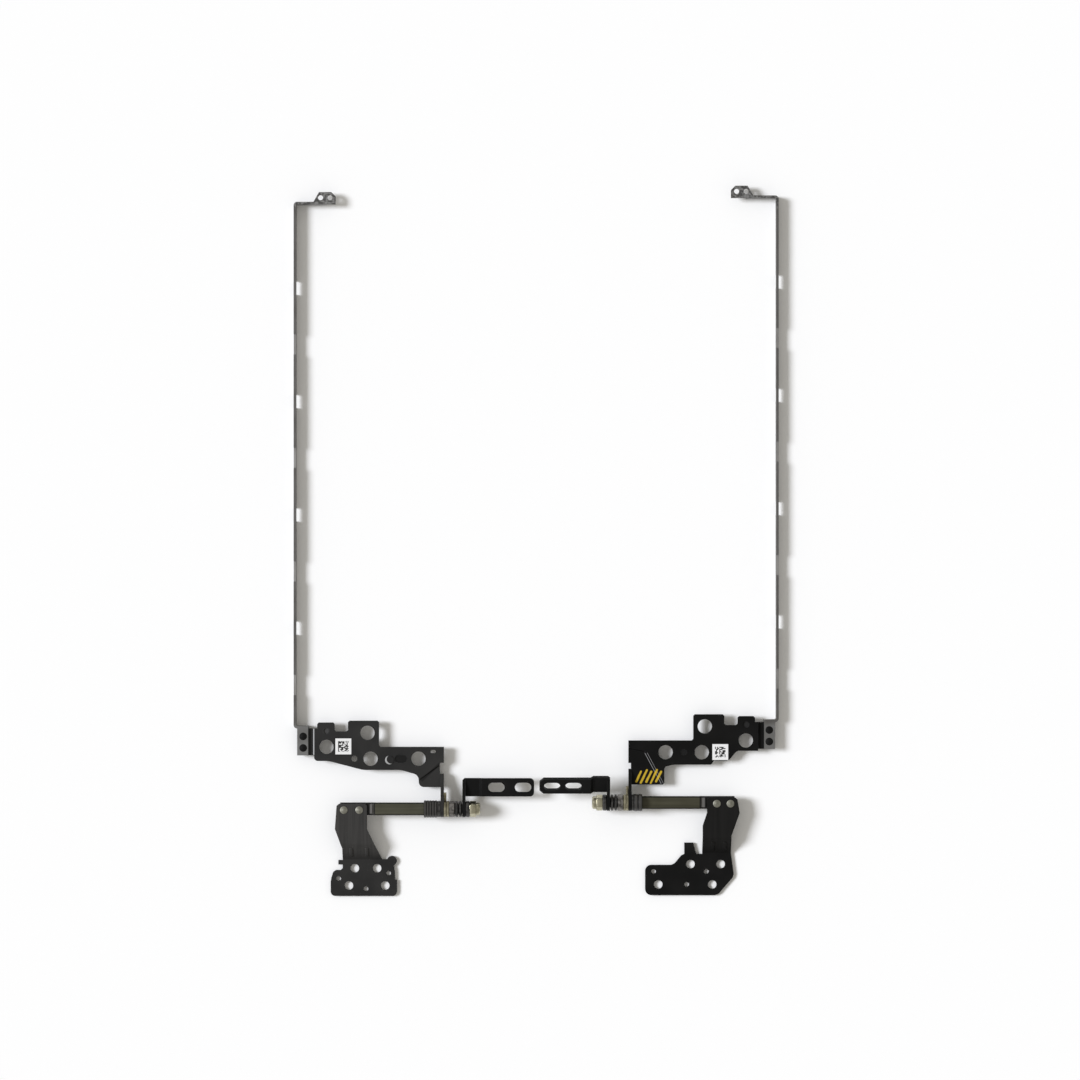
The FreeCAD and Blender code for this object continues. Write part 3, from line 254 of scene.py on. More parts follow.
# %% [markdown]
# On the base brackets, the strip between the rivets and the foot shows the rolling lines of the sheet
# through a thinner coat. A noise that is drawn out along the strip lightens it, and fades at the ramp.

# %% Base bracket coats
RAMP_START = 16 * MM
RAMP_END = 21 * MM


def base_coat(side, level, strip_level):
    finish = coat(f"{side}_base_coat", level, side)
    rolled = finish.noise(800, 3, (1, 0.04, 0.04)).fade(0.25, 0.75)
    strip = finish.y.fade(AXIS[side].y - RAMP_END, AXIS[side].y - RAMP_START)
    finish.paint(strip * (0.45 + 0.55 * rolled), grey(strip_level, 0.04))
    return finish


base_coats = {"left": base_coat("left", level=0.015, strip_level=0.045),
              "right": base_coat("right", level=0.0045, strip_level=0.011)}
print("base coats:", list(base_coats))

# %% [markdown]
# ## Marks on the lid brackets
# Both plates have small marks of their making and handling, and some painted shade and painted
# highlights. They could be thin pieces laid on the plate, but then each would have to follow its bends.
# Instead they are painted in the finish, by the distance of a point from a line, a circle or a stroke, so
# they lie on the plate wherever it bends, and only on its upper face.

# %% Masks
RECESS_FLOOR = 3.9 * MM
RECESS_SLACK = 0.1 * MM
TOP_FACE = 3.3 * MM
DIMPLE = (44.8, 30.3)
DIMPLE_RADIUS = 1.15 * MM


def line(finish, start, end, width):
    """A mask that is 1 within a width of the line between two plan points."""
    run = Vector(end) - Vector(start)
    length = run.length
    run.normalize()
    across = (finish.x - start[0]) * run.y - (finish.y - start[1]) * run.x
    along = (finish.x - start[0]) * run.x + (finish.y - start[1]) * run.y
    inside = (along > 0.0) * (along < length)
    return abs(across).fade(width, width * 0.4) * inside


def disc(finish, centre, radius):
    """A mask that is 1 inside a circle in plan."""
    off_x = finish.x - centre[0]
    off_y = finish.y - centre[1]
    return (off_x * off_x + off_y * off_y).root().fade(radius * 1.06, radius * 0.94)


def stroke(finish, start, end):
    """How far a point is, in plan, from the straight stroke between two others."""
    run = Vector(end) - Vector(start)
    off_x = finish.x - start[0]
    off_y = finish.y - start[1]
    along = ((off_x * run.x + off_y * run.y) / run.length_squared).held()
    gap_x = off_x - along * run.x
    gap_y = off_y - along * run.y
    return (gap_x * gap_x + gap_y * gap_y).root()


def pen_mark(finish, strokes, width):
    """A mask along the strokes of a pen, uneven in width, with round ends."""
    gaps = [stroke(finish, *pair) for pair in strokes]
    gap = gaps[0]
    for other in gaps[1:]:
        gap = gap.smaller(other)
    uneven = finish.noise(420, 2) * (width * 0.8) + width * 0.6
    return (gap - uneven).fade(width * 0.15, -width * 0.15)


def paint_recess(finish, centre, half, level):
    """Gives the floor of the shallow pressed recess a grey of its own."""
    inside = (abs(finish.x - centre[0]) < half[0]) * (abs(finish.y - centre[1]) < half[1])
    sunk = (finish.z > RECESS_FLOOR - RECESS_SLACK) * (finish.z < RECESS_FLOOR + RECESS_SLACK)
    finish.paint(inside * sunk * 0.8, grey(level))


def paint_dimple(finish, side, level):
    """Gives the small round dimple near the rail a grey of its own."""
    inside = disc(finish, on_plate(side, *DIMPLE), DIMPLE_RADIUS)
    finish.paint(inside * (finish.z > TOP_FACE) * 0.7, grey(level))


print("upper faces from", TOP_FACE, "m, recess floors at", RECESS_FLOOR, "m")

# %% [markdown]
# On the left plate a soft dark band along the pressed crease is painted shade. A bright line along the
# step to the rail is a painted highlight, and so is the bright crescent on one side of the round stake,
# which is one disc with a shifted one taken from it.

# %% Left lid bracket
CREASE = ((0.3, 17.7), (7.6, 10.8))
CREASE_WIDTH = 0.7 * MM
STEP_EDGE = ((49.55, 21.0), (49.55, 31.2))
STEP_EDGE_WIDTH = 0.3 * MM
STAKE = (20.0, 19.0)
STAKE_RADIUS = 1.7 * MM
STAKE_SHIFT = (0.6 * MM, 0.3 * MM)
LEFT_RECESS = (15.6, 19.0)
LEFT_RECESS_HALF = (2.6 * MM, 1.8 * MM)
left_marked = coat("left_lid_coat", 0.017, "left")
top = left_marked.z > TOP_FACE
# Painted shade: a soft dark band along the crease, on the upper face.
crease_shade = line(left_marked, *line_on_plate("left", CREASE), CREASE_WIDTH)
left_marked.paint(crease_shade * top * 0.65, grey(0.004))
# Painted highlight: a bright line along the step to the rail.
step_highlight = line(left_marked, *line_on_plate("left", STEP_EDGE), STEP_EDGE_WIDTH)
left_marked.paint(step_highlight * top * 0.85, grey(0.5))
stake = on_plate("left", *STAKE)
shifted = (stake[0] + STAKE_SHIFT[0], stake[1] + STAKE_SHIFT[1])
# Painted highlight: a bright crescent on one side of the stake, broken up by noise.
stake_highlight = disc(left_marked, stake, STAKE_RADIUS) * (1 - disc(left_marked, shifted, STAKE_RADIUS))
stake_highlight = stake_highlight * left_marked.noise(900, 2).fade(0.2, 0.55)
left_marked.paint(stake_highlight * top * 0.9, grey(0.45))
paint_dimple(left_marked, "left", 0.07)
paint_recess(left_marked, on_plate("left", *LEFT_RECESS), LEFT_RECESS_HALF, 0.004)
print("marks: crease, bare edge and stake on the left lid bracket")

# %% [markdown]
# On the right plate two bright hairlines run along the crease: the coat has cracked there, and they are
# also painted highlights where the crease's edges catch the light. A yellow paint pen has left a few
# slanted strokes beside them. A stroke is the set of points near a short line, which gives it round ends,
# and a little noise makes its width uneven.

# %% Right lid bracket
CRACK_AND_GLINT = ((5.2, 19.2), (11.6, 7.2))
CRACK_AND_GLINT_SHIFT = (0.9 * MM, 0.1 * MM)
CRACK_AND_GLINT_WIDTHS = (0.14 * MM, 0.11 * MM)
RIGHT_RECESS = (20.2, 19.5)
RIGHT_RECESS_HALF = (1.5 * MM, 1.2 * MM)
right_marked = coat("right_lid_coat", 0.0045, "right")
crack_and_glint = line_on_plate("right", CRACK_AND_GLINT)
second = [(x + CRACK_AND_GLINT_SHIFT[0], y + CRACK_AND_GLINT_SHIFT[1]) for x, y in crack_and_glint]
top = right_marked.z > TOP_FACE
first_line, second_line = (line(right_marked, *ends, width)
                           for ends, width in zip((crack_and_glint, second), CRACK_AND_GLINT_WIDTHS))
glints_and_cracks = first_line + second_line
# Painted highlight and cracked coat: two bright hairlines along the crease.
right_marked.paint(glints_and_cracks.fade(0.1, 0.9) * top * 0.55, grey(0.42))
PEN_WIDTH = 0.42 * MM
PEN_LIGHT = (0.60, 0.42, 0.04, 1)
PEN_DARK = (0.45, 0.30, 0.022, 1)
PEN_STROKES = (((1.9, 8.1), (3.7, 12.0)), ((3.6, 7.6), (6.0, 12.5)), ((5.8, 8.0), (7.7, 11.9)),
               ((7.5, 7.5), (9.9, 12.6)), ((9.6, 8.1), (11.5, 11.9)))
strokes = [line_on_plate("right", ends) for ends in PEN_STROKES]
pen = pen_mark(right_marked, strokes, PEN_WIDTH) * top
pen_yellow = right_marked.blend(right_marked.noise(700, 2), PEN_LIGHT, PEN_DARK)
right_marked.paint(pen, pen_yellow)
paint_dimple(right_marked, "right", 0.03)
paint_recess(right_marked, on_plate("right", *RIGHT_RECESS), RIGHT_RECESS_HALF, 0.014)
print("marks: cracks and pen on the right lid bracket")

# %% [markdown]
# ## Bare and plated metals
# The small pieces are brass, steel or yellow-passivated zinc. One function makes them all: a base colour
# with a darker shade in lines drawn out along one axis, and a cloudy roughness. Dark is painted along the
# edges of the brass, the cam discs and the nuts: old oil, and painted shade between the pieces.

# %% Metal
LINES = 900
LINE_DEPTH = 0.04 * MM


def metal(name, colour, shade, rough, lines, metallic=1.0):
    """A metal with rolling or turning lines; lines is how far they are drawn out along X, Y and Z."""
    finish = Finish(name)
    streak = finish.noise(LINES, 3, lines)
    cloud = finish.noise(160, 3).fade(0.3, 0.7)
    finish.set(Base_Color=finish.blend(streak.fade(0.3, 0.7), colour, shade))
    finish.set(Roughness=rough + 0.16 * cloud, Metallic=metallic)
    finish.bump(streak, LINE_DEPTH, 0.35)
    return finish


EVEN = (1, 1, 1)
rivet_grey = metal("set_rivet_steel", (0.31, 0.305, 0.26, 1), (0.21, 0.205, 0.17, 1), 0.40, EVEN, 0.85)
brass = metal("olive_brass", (0.46, 0.43, 0.31, 1), (0.22, 0.20, 0.14, 1), 0.34, (1, 0.3, 0.3))
spring_black = metal("oiled_spring_steel", grey(0.085, 0.03), grey(0.03, 0.03), 0.3, EVEN, 0.6)
cam_grey = metal("ground_cam_steel", grey(0.28, 0.05), grey(0.09, 0.05), 0.32, EVEN, 0.9)
gold_zinc = metal("yellow_zinc", (0.54, 0.51, 0.38, 1), (0.38, 0.36, 0.26, 1), 0.22, EVEN)
OIL_AND_SHADE = (0.045, 0.041, 0.026, 1)
OILED_AND_SHADED_EDGE = 0.3 * MM
# Dark painted on the edges: old oil, and painted shade in the gaps between the pieces.
for finish in (brass, cam_grey, gold_zinc):
    finish.paint(finish.edges(OILED_AND_SHADED_EDGE) * 0.8, OIL_AND_SHADE)
print("metals:", len(bpy.data.materials), "materials so far")

# %% [markdown]
# The rails are zinc-plated strip. The plating is bright on the sides, but it has gone dark along the cut
# edges, which look up and down, and it is mottled round the tips. The flange on the tab is in between.
# Each stretch is picked out by where it is along the rail or above the table.

# %% Rails
CUT_EDGE = 4.05 * MM
CUT_FADE = 0.1 * MM
FLANGE_END = -71.3 * MM
FLANGE_FADE = 1 * MM
TIP_START = 130 * MM
TIP_FADE = 2 * MM
DARK_EDGE = 0.2 * MM
zinc = metal("dull_zinc", grey(0.38, 0.02), grey(0.29, 0.02), 0.42, (1, 0.04, 1))
zinc.paint(zinc.z.fade(CUT_EDGE - CUT_FADE, CUT_EDGE + CUT_FADE) * 0.8, grey(0.12, 0.04))
zinc.paint(zinc.y.fade(FLANGE_END + FLANGE_FADE, FLANGE_END - FLANGE_FADE) * 0.75, grey(0.25))
mottled = zinc.blend(zinc.noise(1100, 2).fade(0.42, 0.58), grey(0.08), grey(0.34))
zinc.paint(zinc.y.fade(TIP_START - TIP_FADE, TIP_START + TIP_FADE) * 0.7, mottled)
# Painted shade: a thin dark line along every sharp edge of the rails.
zinc.paint(zinc.edges(DARK_EDGE) * 0.6, grey(0.05))
print("rails:", zinc.material.name)

# %% [markdown]
# The shaft is one turned and milled piece. Its bar is dark oiled steel with lengthwise lines, and its
# rounded sides are painted near black as shade. Its flat tongue is blacked, apart from a small ground
# land beside the base bracket, painted light as bare metal and as a painted sheen.

# %% Shafts
SIDE_SHADE_FADE = (1.85 * MM, 2.1 * MM)
TONGUE_FADE = 0.1 * MM
LAND_OUT = 1.25 * MM
LAND_FADE = (0.85 * MM, 0.65 * MM)
LAND_HALF = 1.9 * MM


def shaft_steel(side, colour, shade, tongue_from):
    """The steel of one shaft, whose tongue starts so far out from the ear."""
    finish = metal(f"{side}_oiled_bar", colour, shade, 0.38, (0.03, 1, 1))
    out = abs(finish.x) - EAR
    off_axis = abs(finish.y - AXIS[side].y)
    # Painted shade: the bar's rounded sides, far from the axis in plan, are painted near black.
    finish.paint(off_axis.fade(*SIDE_SHADE_FADE) * 0.8, grey(0.012))
    tongue = out.fade(tongue_from - TONGUE_FADE, tongue_from + TONGUE_FADE)
    finish.paint(tongue, grey(0.006))
    # A small light patch on the tongue: ground bare metal, and a painted sheen.
    ground_land_and_sheen = abs(out - (tongue_from + LAND_OUT)).fade(*LAND_FADE) * (off_axis < LAND_HALF)
    finish.paint(ground_land_and_sheen * 0.8, grey(0.16, 0.04))
    finish.set(Metallic=0.7 - 0.4 * tongue)
    return finish


bars = {"left": shaft_steel("left", (0.098, 0.096, 0.069, 1), (0.07, 0.068, 0.048, 1), 25.6 * MM),
        "right": shaft_steel("right", (0.084, 0.079, 0.053, 1), (0.06, 0.056, 0.037, 1), 26.5 * MM)}
print("shafts:", list(bars))

# %% [markdown]
# ## Stickers
# Each lid bracket carries a small white sticker, with a plain scatter of square blocks inside a white
# border. The blocks come from one random number for each cell of a grid.

# %% Sticker
CELL = 0.42 * MM
FILLED = 0.37
PRINTED = 0.33
FILM_DEPTH = 0.01 * MM


def sticker(name, node):
    """White film with dark blocks; PRINTED is the half width of the printed square, as a share."""
    finish = Finish(name)
    low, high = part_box(node)
    middle = (low + high) / 2
    snap = {"operation": "SNAP"}
    cells = finish.node("ShaderNodeVectorMath", snap, {0: finish.coords, 1: (CELL, CELL, 1.0)}, "Vector")
    flat = {"noise_dimensions": "2D"}
    chance = finish.node("ShaderNodeTexWhiteNoise", flat, {"Vector": cells}, "Value")
    half = (high.x - low.x) * PRINTED
    inside = (abs(finish.x - middle.x) < half) * (abs(finish.y - middle.y) < half)
    blocks = (chance > FILLED) * inside
    paper = finish.blend(finish.noise(1500, 2), grey(0.86), grey(0.78))
    finish.set(Base_Color=finish.blend(blocks, paper, grey(0.02)), Roughness=0.55 - 0.1 * blocks)
    finish.bump(finish.noise(4000, 2), FILM_DEPTH, 0.2)
    return finish


stickers = {side: sticker(f"{side}_sticker_film", f"{side}_label") for side in SIDES}
print("stickers:", list(stickers))

# %% [markdown]
# ## Dressing the solids
# The plates, rails, shafts and stickers keep the meshes that came with the frame. Such a mesh only needs
# its material slot filled, and nothing about it is moved.

# %% Give the CAD solids their finishes


def dress(node, finish):
    mesh = nodes[node].data
    mesh.materials.clear()
    mesh.materials.append(finish.material)


dress("left_lid_bracket", left_marked)
dress("right_lid_bracket", right_marked)
for side in SIDES:
    dress(f"{side}_base_bracket", base_coats[side])
    dress(f"{side}_support_arm", black)
    dress(f"{side}_lid_rail", zinc)
    dress(f"{side}_shaft", bars[side])
    dress(f"{side}_label", stickers[side])
print("plates, rails, shafts and stickers dressed")

# %% [markdown]
# ## Turned pieces
# A washer is half of its section turned once round the shaft. The section is a closed loop of points,
# each a distance along the shaft and a radius; `spin` sweeps it round, and the normals are made to
# point outwards afterwards, because a spin can leave them inside out. Two more helpers, one to raise a
# flat face into a prism and one to blunt its edges, serve the pieces that aren't round.

# %% Turning on the shaft
TURNS = 56
SHARP = math.radians(32)
SAME_PLACE = 1e-7
ALONG = Vector((1, 0, 0))
ACROSS = Vector((0, 1, 0))
UP = Vector((0, 0, 1))


def finished(name, mesh_data, finish, body):
    """Makes an object from a bmesh: smooth, with sharp edges kept, and riding on a body."""
    bmesh.ops.recalc_face_normals(mesh_data, faces=mesh_data.faces[:])
    mesh = bpy.data.meshes.new(name)
    mesh_data.to_mesh(mesh)
    mesh_data.free()
    for face in mesh.polygons:
        face.use_smooth = True
    mesh.set_sharp_from_angle(angle=SHARP)
    mesh.materials.append(finish.material)
    piece = bpy.data.objects.new(name, mesh)
    bpy.context.scene.collection.objects.link(piece)
    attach(piece, body)
    return piece


def add_turned(mesh_data, section, centre, axis):
    """Adds a closed section of (along, radius) points, turned about an axis through the centre."""
    side = ACROSS if abs(axis.x) > 0.5 else ALONG
    spots = [mesh_data.verts.new(centre + axis * along + side * radius) for along, radius in section]
    loop = [mesh_data.edges.new(pair) for pair in zip(spots, spots[1:] + spots[:1])]
    bmesh.ops.spin(mesh_data, geom=spots + loop, cent=centre, axis=axis, angle=2 * math.pi, steps=TURNS,
                   use_merge=True)
    bmesh.ops.remove_doubles(mesh_data, verts=mesh_data.verts[:], dist=SAME_PLACE)


def raise_prism(mesh_data, faces, height):
    """Extrudes flat faces straight up."""
    grown = bmesh.ops.extrude_face_region(mesh_data, geom=faces)
    tops = [item for item in grown["geom"] if isinstance(item, bmesh.types.BMVert)]
    bmesh.ops.translate(mesh_data, verts=tops, vec=UP * height)


def blunt_edges(mesh_data, width, segments):
    """Bevels every edge of a mesh."""
    bmesh.ops.bevel(mesh_data, geom=mesh_data.edges[:], offset=width, offset_type="OFFSET",
                    affect="EDGES", segments=segments, profile=0.5, material=-1)


def blunt_ring(start, end, bore, rim, edge):
    """The section of a flat ring with blunt rims."""
    return [(start, bore), (start, rim - edge), (start + edge, rim),
            (end - edge, rim), (end, rim - edge), (end, bore)]


def span(node, centre):
    """How far a solid reaches along the shaft, measured from the centre."""
    low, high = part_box(node)
    return low.x - centre.x, high.x - centre.x


print("a turned piece has", TURNS, "steps round")

# %% [markdown]
# ## Washers and cam discs
# Four of the pieces on each shaft are plain rings, which differ only in their metal and in how blunt
# their rims are. One loop turns them all, each as long as the solid that it stands for.

# %% Rings
RIM = 3.15 * MM
BORE = 1.82 * MM
RINGS = (("thrust_washer", spring_black, "stack_black", 0.12 * MM),
         ("friction_washer", brass, "washer_brass", 0.1 * MM),
         ("cam_disc", cam_grey, "cam_steel", 0.25 * MM),
         ("end_washer", spring_black, "stack_black", 0.3 * MM))
for side in SIDES:
    for node, finish, slot, edge in RINGS:
        start, end = span(f"{side}_{node}", AXIS[side])
        work = bmesh.new()
        add_turned(work, blunt_ring(start, end, BORE, RIM, edge), AXIS[side], ALONG)
        piece = finished(f"{side}_{node}_turned", work, finish, "base")
        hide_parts(f"{side}_{node}")
print("rings turned:", len(RINGS) * len(SIDES))

# %% [markdown]
# ## Tail washers
# The first washer inside the ear has a tail that lies along the ear and hooks through a slot in it, so
# that it turns with the lid. Its round part is turned like the others. The tail and its hook are one
# bent strip: its outline is a face of six corners, extruded to the strip's width and blunted.

# %% Tail washers
TAIL_THICK = 1.0 * MM
TAIL_WIDTH = 1.2 * MM
TAIL_ROOT = 2.4 * MM
TAIL_REACH = 6.4 * MM
TAIL_HOOK = 1.2 * MM
TAIL_BLUNT = 0.12 * MM
WASHER_BLUNT = 0.1 * MM


def add_tail(mesh_data, centre, inner, outer, ear):
    """Adds the tail between two places along X, and the hook that goes on from it to the ear."""
    root, step, end = (centre.y + reach for reach in (TAIL_ROOT, TAIL_REACH - TAIL_HOOK, TAIL_REACH))
    outline = ((inner, root), (outer, root), (outer, step), (ear, step), (ear, end), (inner, end))
    level = centre.z - TAIL_WIDTH / 2
    strip = mesh_data.faces.new([mesh_data.verts.new((x, y, level)) for x, y in outline])
    raise_prism(mesh_data, [strip], TAIL_WIDTH)
    blunt_edges(mesh_data, TAIL_BLUNT, 2)


for side in SIDES:
    near, far = sorted(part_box(f"{side}_tail_washer"), key=lambda corner: abs(corner.x))
    inner, ear = near.x, far.x
    outer = inner + OUTWARD[side] * TAIL_THICK
    work = bmesh.new()
    add_tail(work, AXIS[side], inner, outer, ear)
    faces = sorted(place - AXIS[side].x for place in (inner, outer))
    add_turned(work, blunt_ring(*faces, BORE, RIM, WASHER_BLUNT), AXIS[side], ALONG)
    piece = finished(f"{side}_tail_washer_hooked", work, brass, f"{side}_lid")
    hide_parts(f"{side}_tail_washer")
print("tail washers hooked:", len(SIDES))

# %% [markdown]
# ## Disc springs
# A disc spring is a washer pressed into a shallow cone. Four of them sit rim to rim in pairs, which
# gives the stack its dark grooves. Each is one slanted section, and every second one leans the other
# way. The sheet is about half as thick as the spring is tall, and the rest of its height is the cone.

# %% Disc springs
SPRINGS = 4
SHEET_SHARE = 0.52
BLUNT = 0.06 * MM
for side in SIDES:
    start, end = span(f"{side}_disc_springs", AXIS[side])
    pitch = (end - start) / SPRINGS
    thick = pitch * SHEET_SHARE
    lean = pitch - thick
    work = bmesh.new()
    for index in range(SPRINGS):
        near = start + index * pitch
        at_bore, at_rim = (near, near + lean) if index % 2 == 0 else (near + lean, near)
        rim_end = at_rim + thick
        section = [(at_bore, BORE), (at_rim, RIM - BLUNT), (at_rim + BLUNT, RIM),
                   (rim_end - BLUNT, RIM), (rim_end, RIM - BLUNT), (at_bore + thick, BORE)]
        add_turned(work, section, AXIS[side], ALONG)
    piece = finished(f"{side}_disc_springs_coned", work, spring_black, "base")
    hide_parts(f"{side}_disc_springs")
print("disc springs:", SPRINGS * len(SIDES))

# %% [markdown]
# ## Ridged collars
# Beside each lid bracket's ear the shaft swells to a black collar with turned ridges. The solid has
# the plain collar, so a thin ridged sleeve goes over it. Its section is a comb: up on every ridge and
# down between them. The left collar is long and has more ridges than the right one. The tops of the
# ridges are painted lighter, by the distance of a point from the axis: rubbed wear, and a painted
# highlight.

# %% Collar sleeves
SLEEVE = 3.24 * MM
RIDGE = 0.13 * MM
SLEEVE_BORE = 3.0 * MM
SLEEVE_GAP = 0.05 * MM
COLLARS = {"left": (5.1 * MM, 5), "right": (3.3 * MM, 2)}
RIDGE_SHAPE = ((0.12, 0), (0.22, 1), (0.80, 1), (0.90, 0))


def collar_steel(side):
    finish = metal(f"{side}_ridged_collar", grey(0.018), grey(0.010), 0.3, EVEN, 0.6)
    off = finish.y - AXIS[side].y
    rise = finish.z - AXIS[side].z
    # Painted highlight and wear: the tops of the ridges are painted lighter.
    crest_wear_and_glint = (off * off + rise * rise).root().fade(SLEEVE + 0.3 * RIDGE, SLEEVE + 0.9 * RIDGE)
    finish.paint(crest_wear_and_glint * 0.85, grey(0.085, 0.04))
    return finish


for side in SIDES:
    length, ridges = COLLARS[side]
    reach = span(f"{side}_thrust_washer", AXIS[side])
    first = max(abs(reach[0]), abs(reach[1])) + SLEEVE_GAP
    pitch = length / ridges
    crown = []
    for index in range(ridges):
        near = first + index * pitch
        crown += [(near + share * pitch, SLEEVE + rise * RIDGE) for share, rise in RIDGE_SHAPE]
    section = [(first, SLEEVE_BORE), (first, SLEEVE)] + crown
    section += [(first + length, SLEEVE), (first + length, SLEEVE_BORE)]
    work = bmesh.new()
    add_turned(work, section, AXIS[side], ALONG * OUTWARD[side])
    finished(f"{side}_collar_sleeve", work, collar_steel(side), "base")
print("collar sleeves:", COLLARS)

# %% [markdown]
# ## Lock nuts
# The nut is a hexagon with its corners turned off and a round locking collar outside it. A six-sided
# circle is extruded and bevelled for the hexagon, and the collar is turned round the same axis.

# %% Lock nuts
NUT_FLATS = 5.5 * MM
NUT_HEX = 2.4 * MM
NUT_BEVEL = 0.22 * MM
LOCK_RADIUS = 2.5 * MM
LOCK_BORE = 1.9 * MM
LOCK_OVERLAP = 0.1 * MM
LOCK_TAPER = 0.5 * MM
LOCK_DROP = 0.3 * MM
LOCK_LIP = 0.1 * MM
for side in SIDES:
    axis = ALONG * -OUTWARD[side]
    start, end = sorted(abs(value) for value in span(f"{side}_lock_nut", AXIS[side]))
    work = bmesh.new()
    bmesh.ops.create_circle(work, cap_ends=True, segments=6, radius=NUT_FLATS / math.sqrt(3))
    raise_prism(work, work.faces[:], NUT_HEX)
    blunt_edges(work, NUT_BEVEL, 2)
    turn = UP.rotation_difference(axis).to_matrix().to_4x4()
    set_on = Matrix.Translation(AXIS[side] + axis * start) @ turn
    bmesh.ops.transform(work, matrix=set_on, verts=work.verts[:])
    near = start + NUT_HEX - LOCK_OVERLAP
    lock = [(near, LOCK_BORE), (near, LOCK_RADIUS), (end - LOCK_TAPER, LOCK_RADIUS),
            (end - LOCK_LIP, LOCK_RADIUS - LOCK_DROP), (end, LOCK_BORE + LOCK_LIP), (end, LOCK_BORE)]
    add_turned(work, lock, AXIS[side], axis)
    piece = finished(f"{side}_lock_nut_turned", work, gold_zinc, "base")
    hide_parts(f"{side}_lock_nut")
print("lock nuts turned")

# %% [markdown]
# ## Rivet heads
# Two rivets hold each shaft's flat end to its base bracket, and two more hold each rail. The base rivets
# are bare, with a low dome and a faint ring from the setting tool, and the rail rivets are black. Each
# is turned as a whole, shank included, and stands for the plain rivet solid. The points of its foot are
# heights and radii from below, and those of its dome are drops and radii from the top.

# %% Rivets
HEAD = 1.5 * MM
HEAD_RISE = 0.3 * MM
SHANK = 0.98 * MM
FOOT = ((0, 0), (0, HEAD - 0.15 * MM), (0.12 * MM, HEAD), (HEAD_RISE, HEAD), (HEAD_RISE, SHANK))
DOME = ((HEAD_RISE, SHANK), (HEAD_RISE, HEAD), (0.16 * MM, HEAD - 0.05 * MM), (0.05 * MM, HEAD * 0.78),
        (0.07 * MM, HEAD * 0.55), (0, HEAD * 0.45), (0, 0))
BASE_PITCH = {"left": 6.0 * MM, "right": 5.3 * MM}
RAIL_PITCH = 4.5 * MM


def rivets(side, kind, step, finish, body):
    """Two turned rivets, half a step to each side of the middle of the solid that they stand for."""
    low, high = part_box(f"{side}_{kind}")
    foot = Vector(((low.x + high.x) / 2, (low.y + high.y) / 2, low.z))
    height = high.z - low.z
    section = list(FOOT) + [(height - drop, radius) for drop, radius in DOME]
    work = bmesh.new()
    for way in (-0.5, 0.5):
        add_turned(work, section, foot + step * way, UP)
    piece = finished(f"{side}_{kind}_set", work, finish, body)
    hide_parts(f"{side}_{kind}")


for side in SIDES:
    rivets(side, "base_rivets", ALONG * BASE_PITCH[side], rivet_grey, "base")
    rivets(side, "rail_rivets", ACROSS * RAIL_PITCH, black, f"{side}_lid")
print("rivets set:", 4 * len(SIDES))

# %% [markdown]
# ## Stiffening ribs
# Where each base bracket slopes down to its foot, two small ribs are pressed into the slope to stiffen
# it. A rib is a cube drawn out along the slope and rounded on all its edges, sunk into the sheet so
# that only its back stands out.

# %% Ribs
RAMP_DROP = 5.0 * MM
RAMP_RUN = 6.0 * MM
SLOPE = math.atan2(RAMP_DROP, RAMP_RUN)
RIB_SIZE = (1.5 * MM, 4.6 * MM, 0.9 * MM)
RIB_ROUND = 0.4 * MM
RIB_UP = 3.58 * MM
RIBS = {"left": ((-72.15, -121.25), (-66.0, -121.25)), "right": ((68.9, -118.8), (73.5, -118.8))}
for side in SIDES:
    work = bmesh.new()
    for x, y in RIBS[side]:
        rib = bmesh.ops.create_cube(work, size=1.0)["verts"]
        bmesh.ops.scale(work, verts=rib, vec=RIB_SIZE)
        lie = Matrix.Translation((x * MM, y * MM, RIB_UP)) @ Matrix.Rotation(SLOPE, 4, "X")
        bmesh.ops.transform(work, matrix=lie, verts=rib)
    blunt_edges(work, RIB_ROUND, 4)
    finished(f"{side}_ramp_ribs", work, base_coats[side], "base")
print("ribs:", RIBS)

# %% [markdown]
# ## Table
# The hinges lie on a plain white table. It is one large face, a hair below the feet so that the two never
# share a plane.

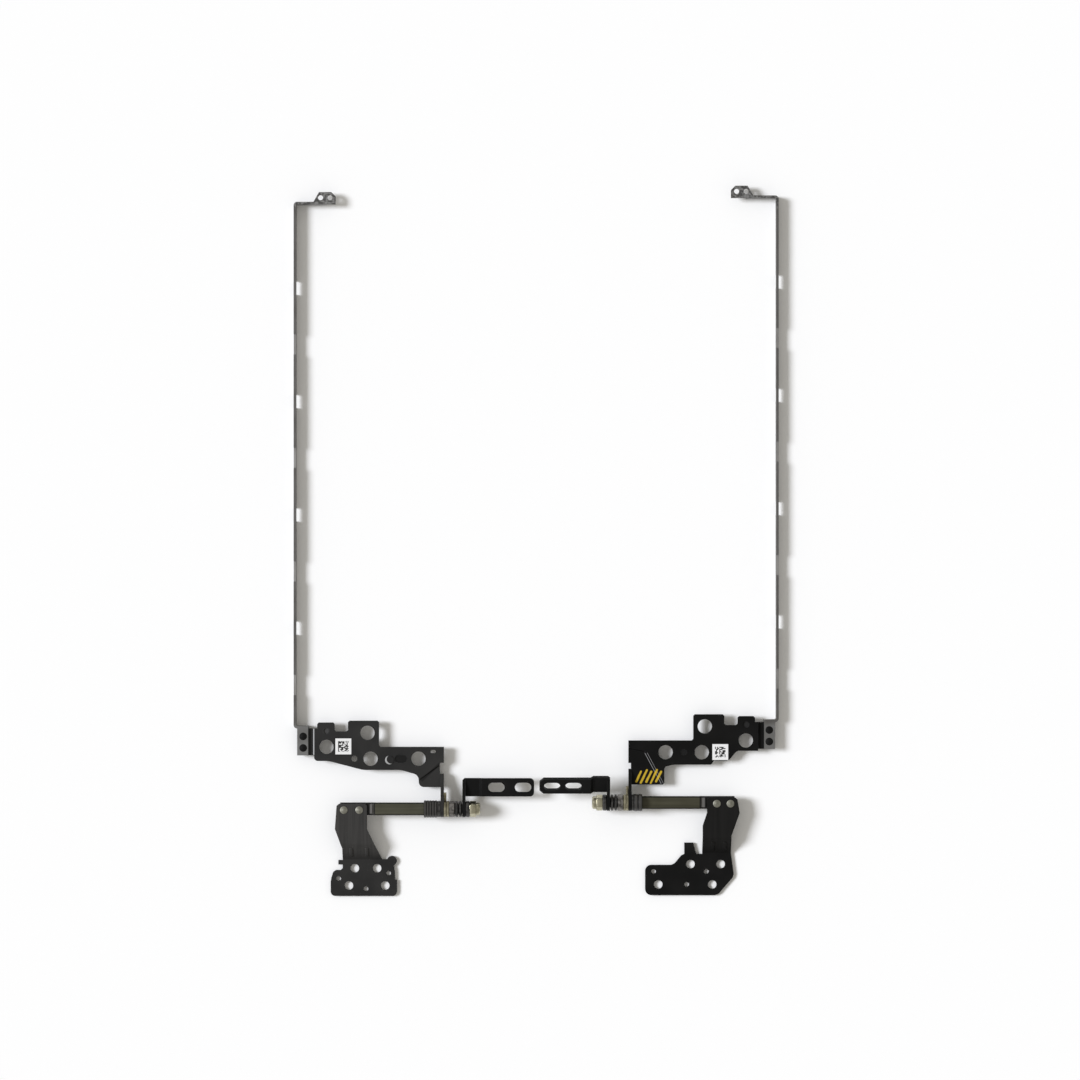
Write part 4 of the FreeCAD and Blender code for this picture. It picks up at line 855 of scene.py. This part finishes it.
# %% Floor
TABLE_HALF = 3.0
TABLE_GAP = 0.05 * MM
work = bmesh.new()
bmesh.ops.create_grid(work, x_segments=1, y_segments=1, size=TABLE_HALF)
bmesh.ops.translate(work, verts=work.verts[:], vec=UP * -TABLE_GAP)
floor_mesh = bpy.data.meshes.new("table_top")
work.to_mesh(floor_mesh)
work.free()
table = Finish("white_table")
table.set(Base_Color=grey(0.975), Roughness=0.9, Specular_IOR_Level=0.1)
floor_mesh.materials.append(table.material)
floor = bpy.data.objects.new("table_top", floor_mesh)
bpy.context.scene.collection.objects.link(floor)
print("floor:", floor.name)

# %% [markdown]
# ## Light
# Soft light comes from the left, so each plate throws a short shadow to its right. A wide sun gives that
# shadow, and the pale sky fills it. The sky is a little warm and the sun a little cool, so that together
# they are white and only the shadows look beige.

# %% Light
scene = bpy.context.scene
scene.view_settings.view_transform = "Standard"
sky = bpy.data.worlds.new("pale_room")
sky.use_nodes = True
background = sky.node_tree.nodes["Background"]
background.inputs["Color"].default_value = (1.0, 0.97, 0.90, 1)
background.inputs["Strength"].default_value = 0.43
scene.world = sky
lamp = bpy.data.lights.new("window", "SUN")
lamp.energy = 3.17
lamp.color = (0.93, 0.95, 1.0)
lamp.angle = math.radians(20)
window = bpy.data.objects.new("window", lamp)
LIGHT_FROM = Vector((-0.86, 0.14, 0.70))
window.rotation_euler = LIGHT_FROM.to_track_quat("Z", "Y").to_euler()
scene.collection.objects.link(window)
print("light from:", LIGHT_FROM)

# %% [markdown]
# ## Camera
# The camera looks straight down from far above, so that the rails stay straight and upright edges hardly
# show. Its lens follows from its height and from how much of the table it sees at the plates' level.

# %% Camera
LOOK_AT = (1.5 * MM, 0.45 * MM)
CAMERA_HEIGHT = 1.5
PLATE_TOP = 4.2 * MM
VIEW_WIDTH = 0.4212
SENSOR = 36
eye = bpy.data.cameras.new("eye")
eye.sensor_width = SENSOR
eye.lens = SENSOR * (CAMERA_HEIGHT - PLATE_TOP) / VIEW_WIDTH
eye.clip_end = 10
camera = bpy.data.objects.new("eye", eye)
camera.location = (*LOOK_AT, CAMERA_HEIGHT)
scene.collection.objects.link(camera)
scene.camera = camera
print("lens:", round(eye.lens, 1), "mm")
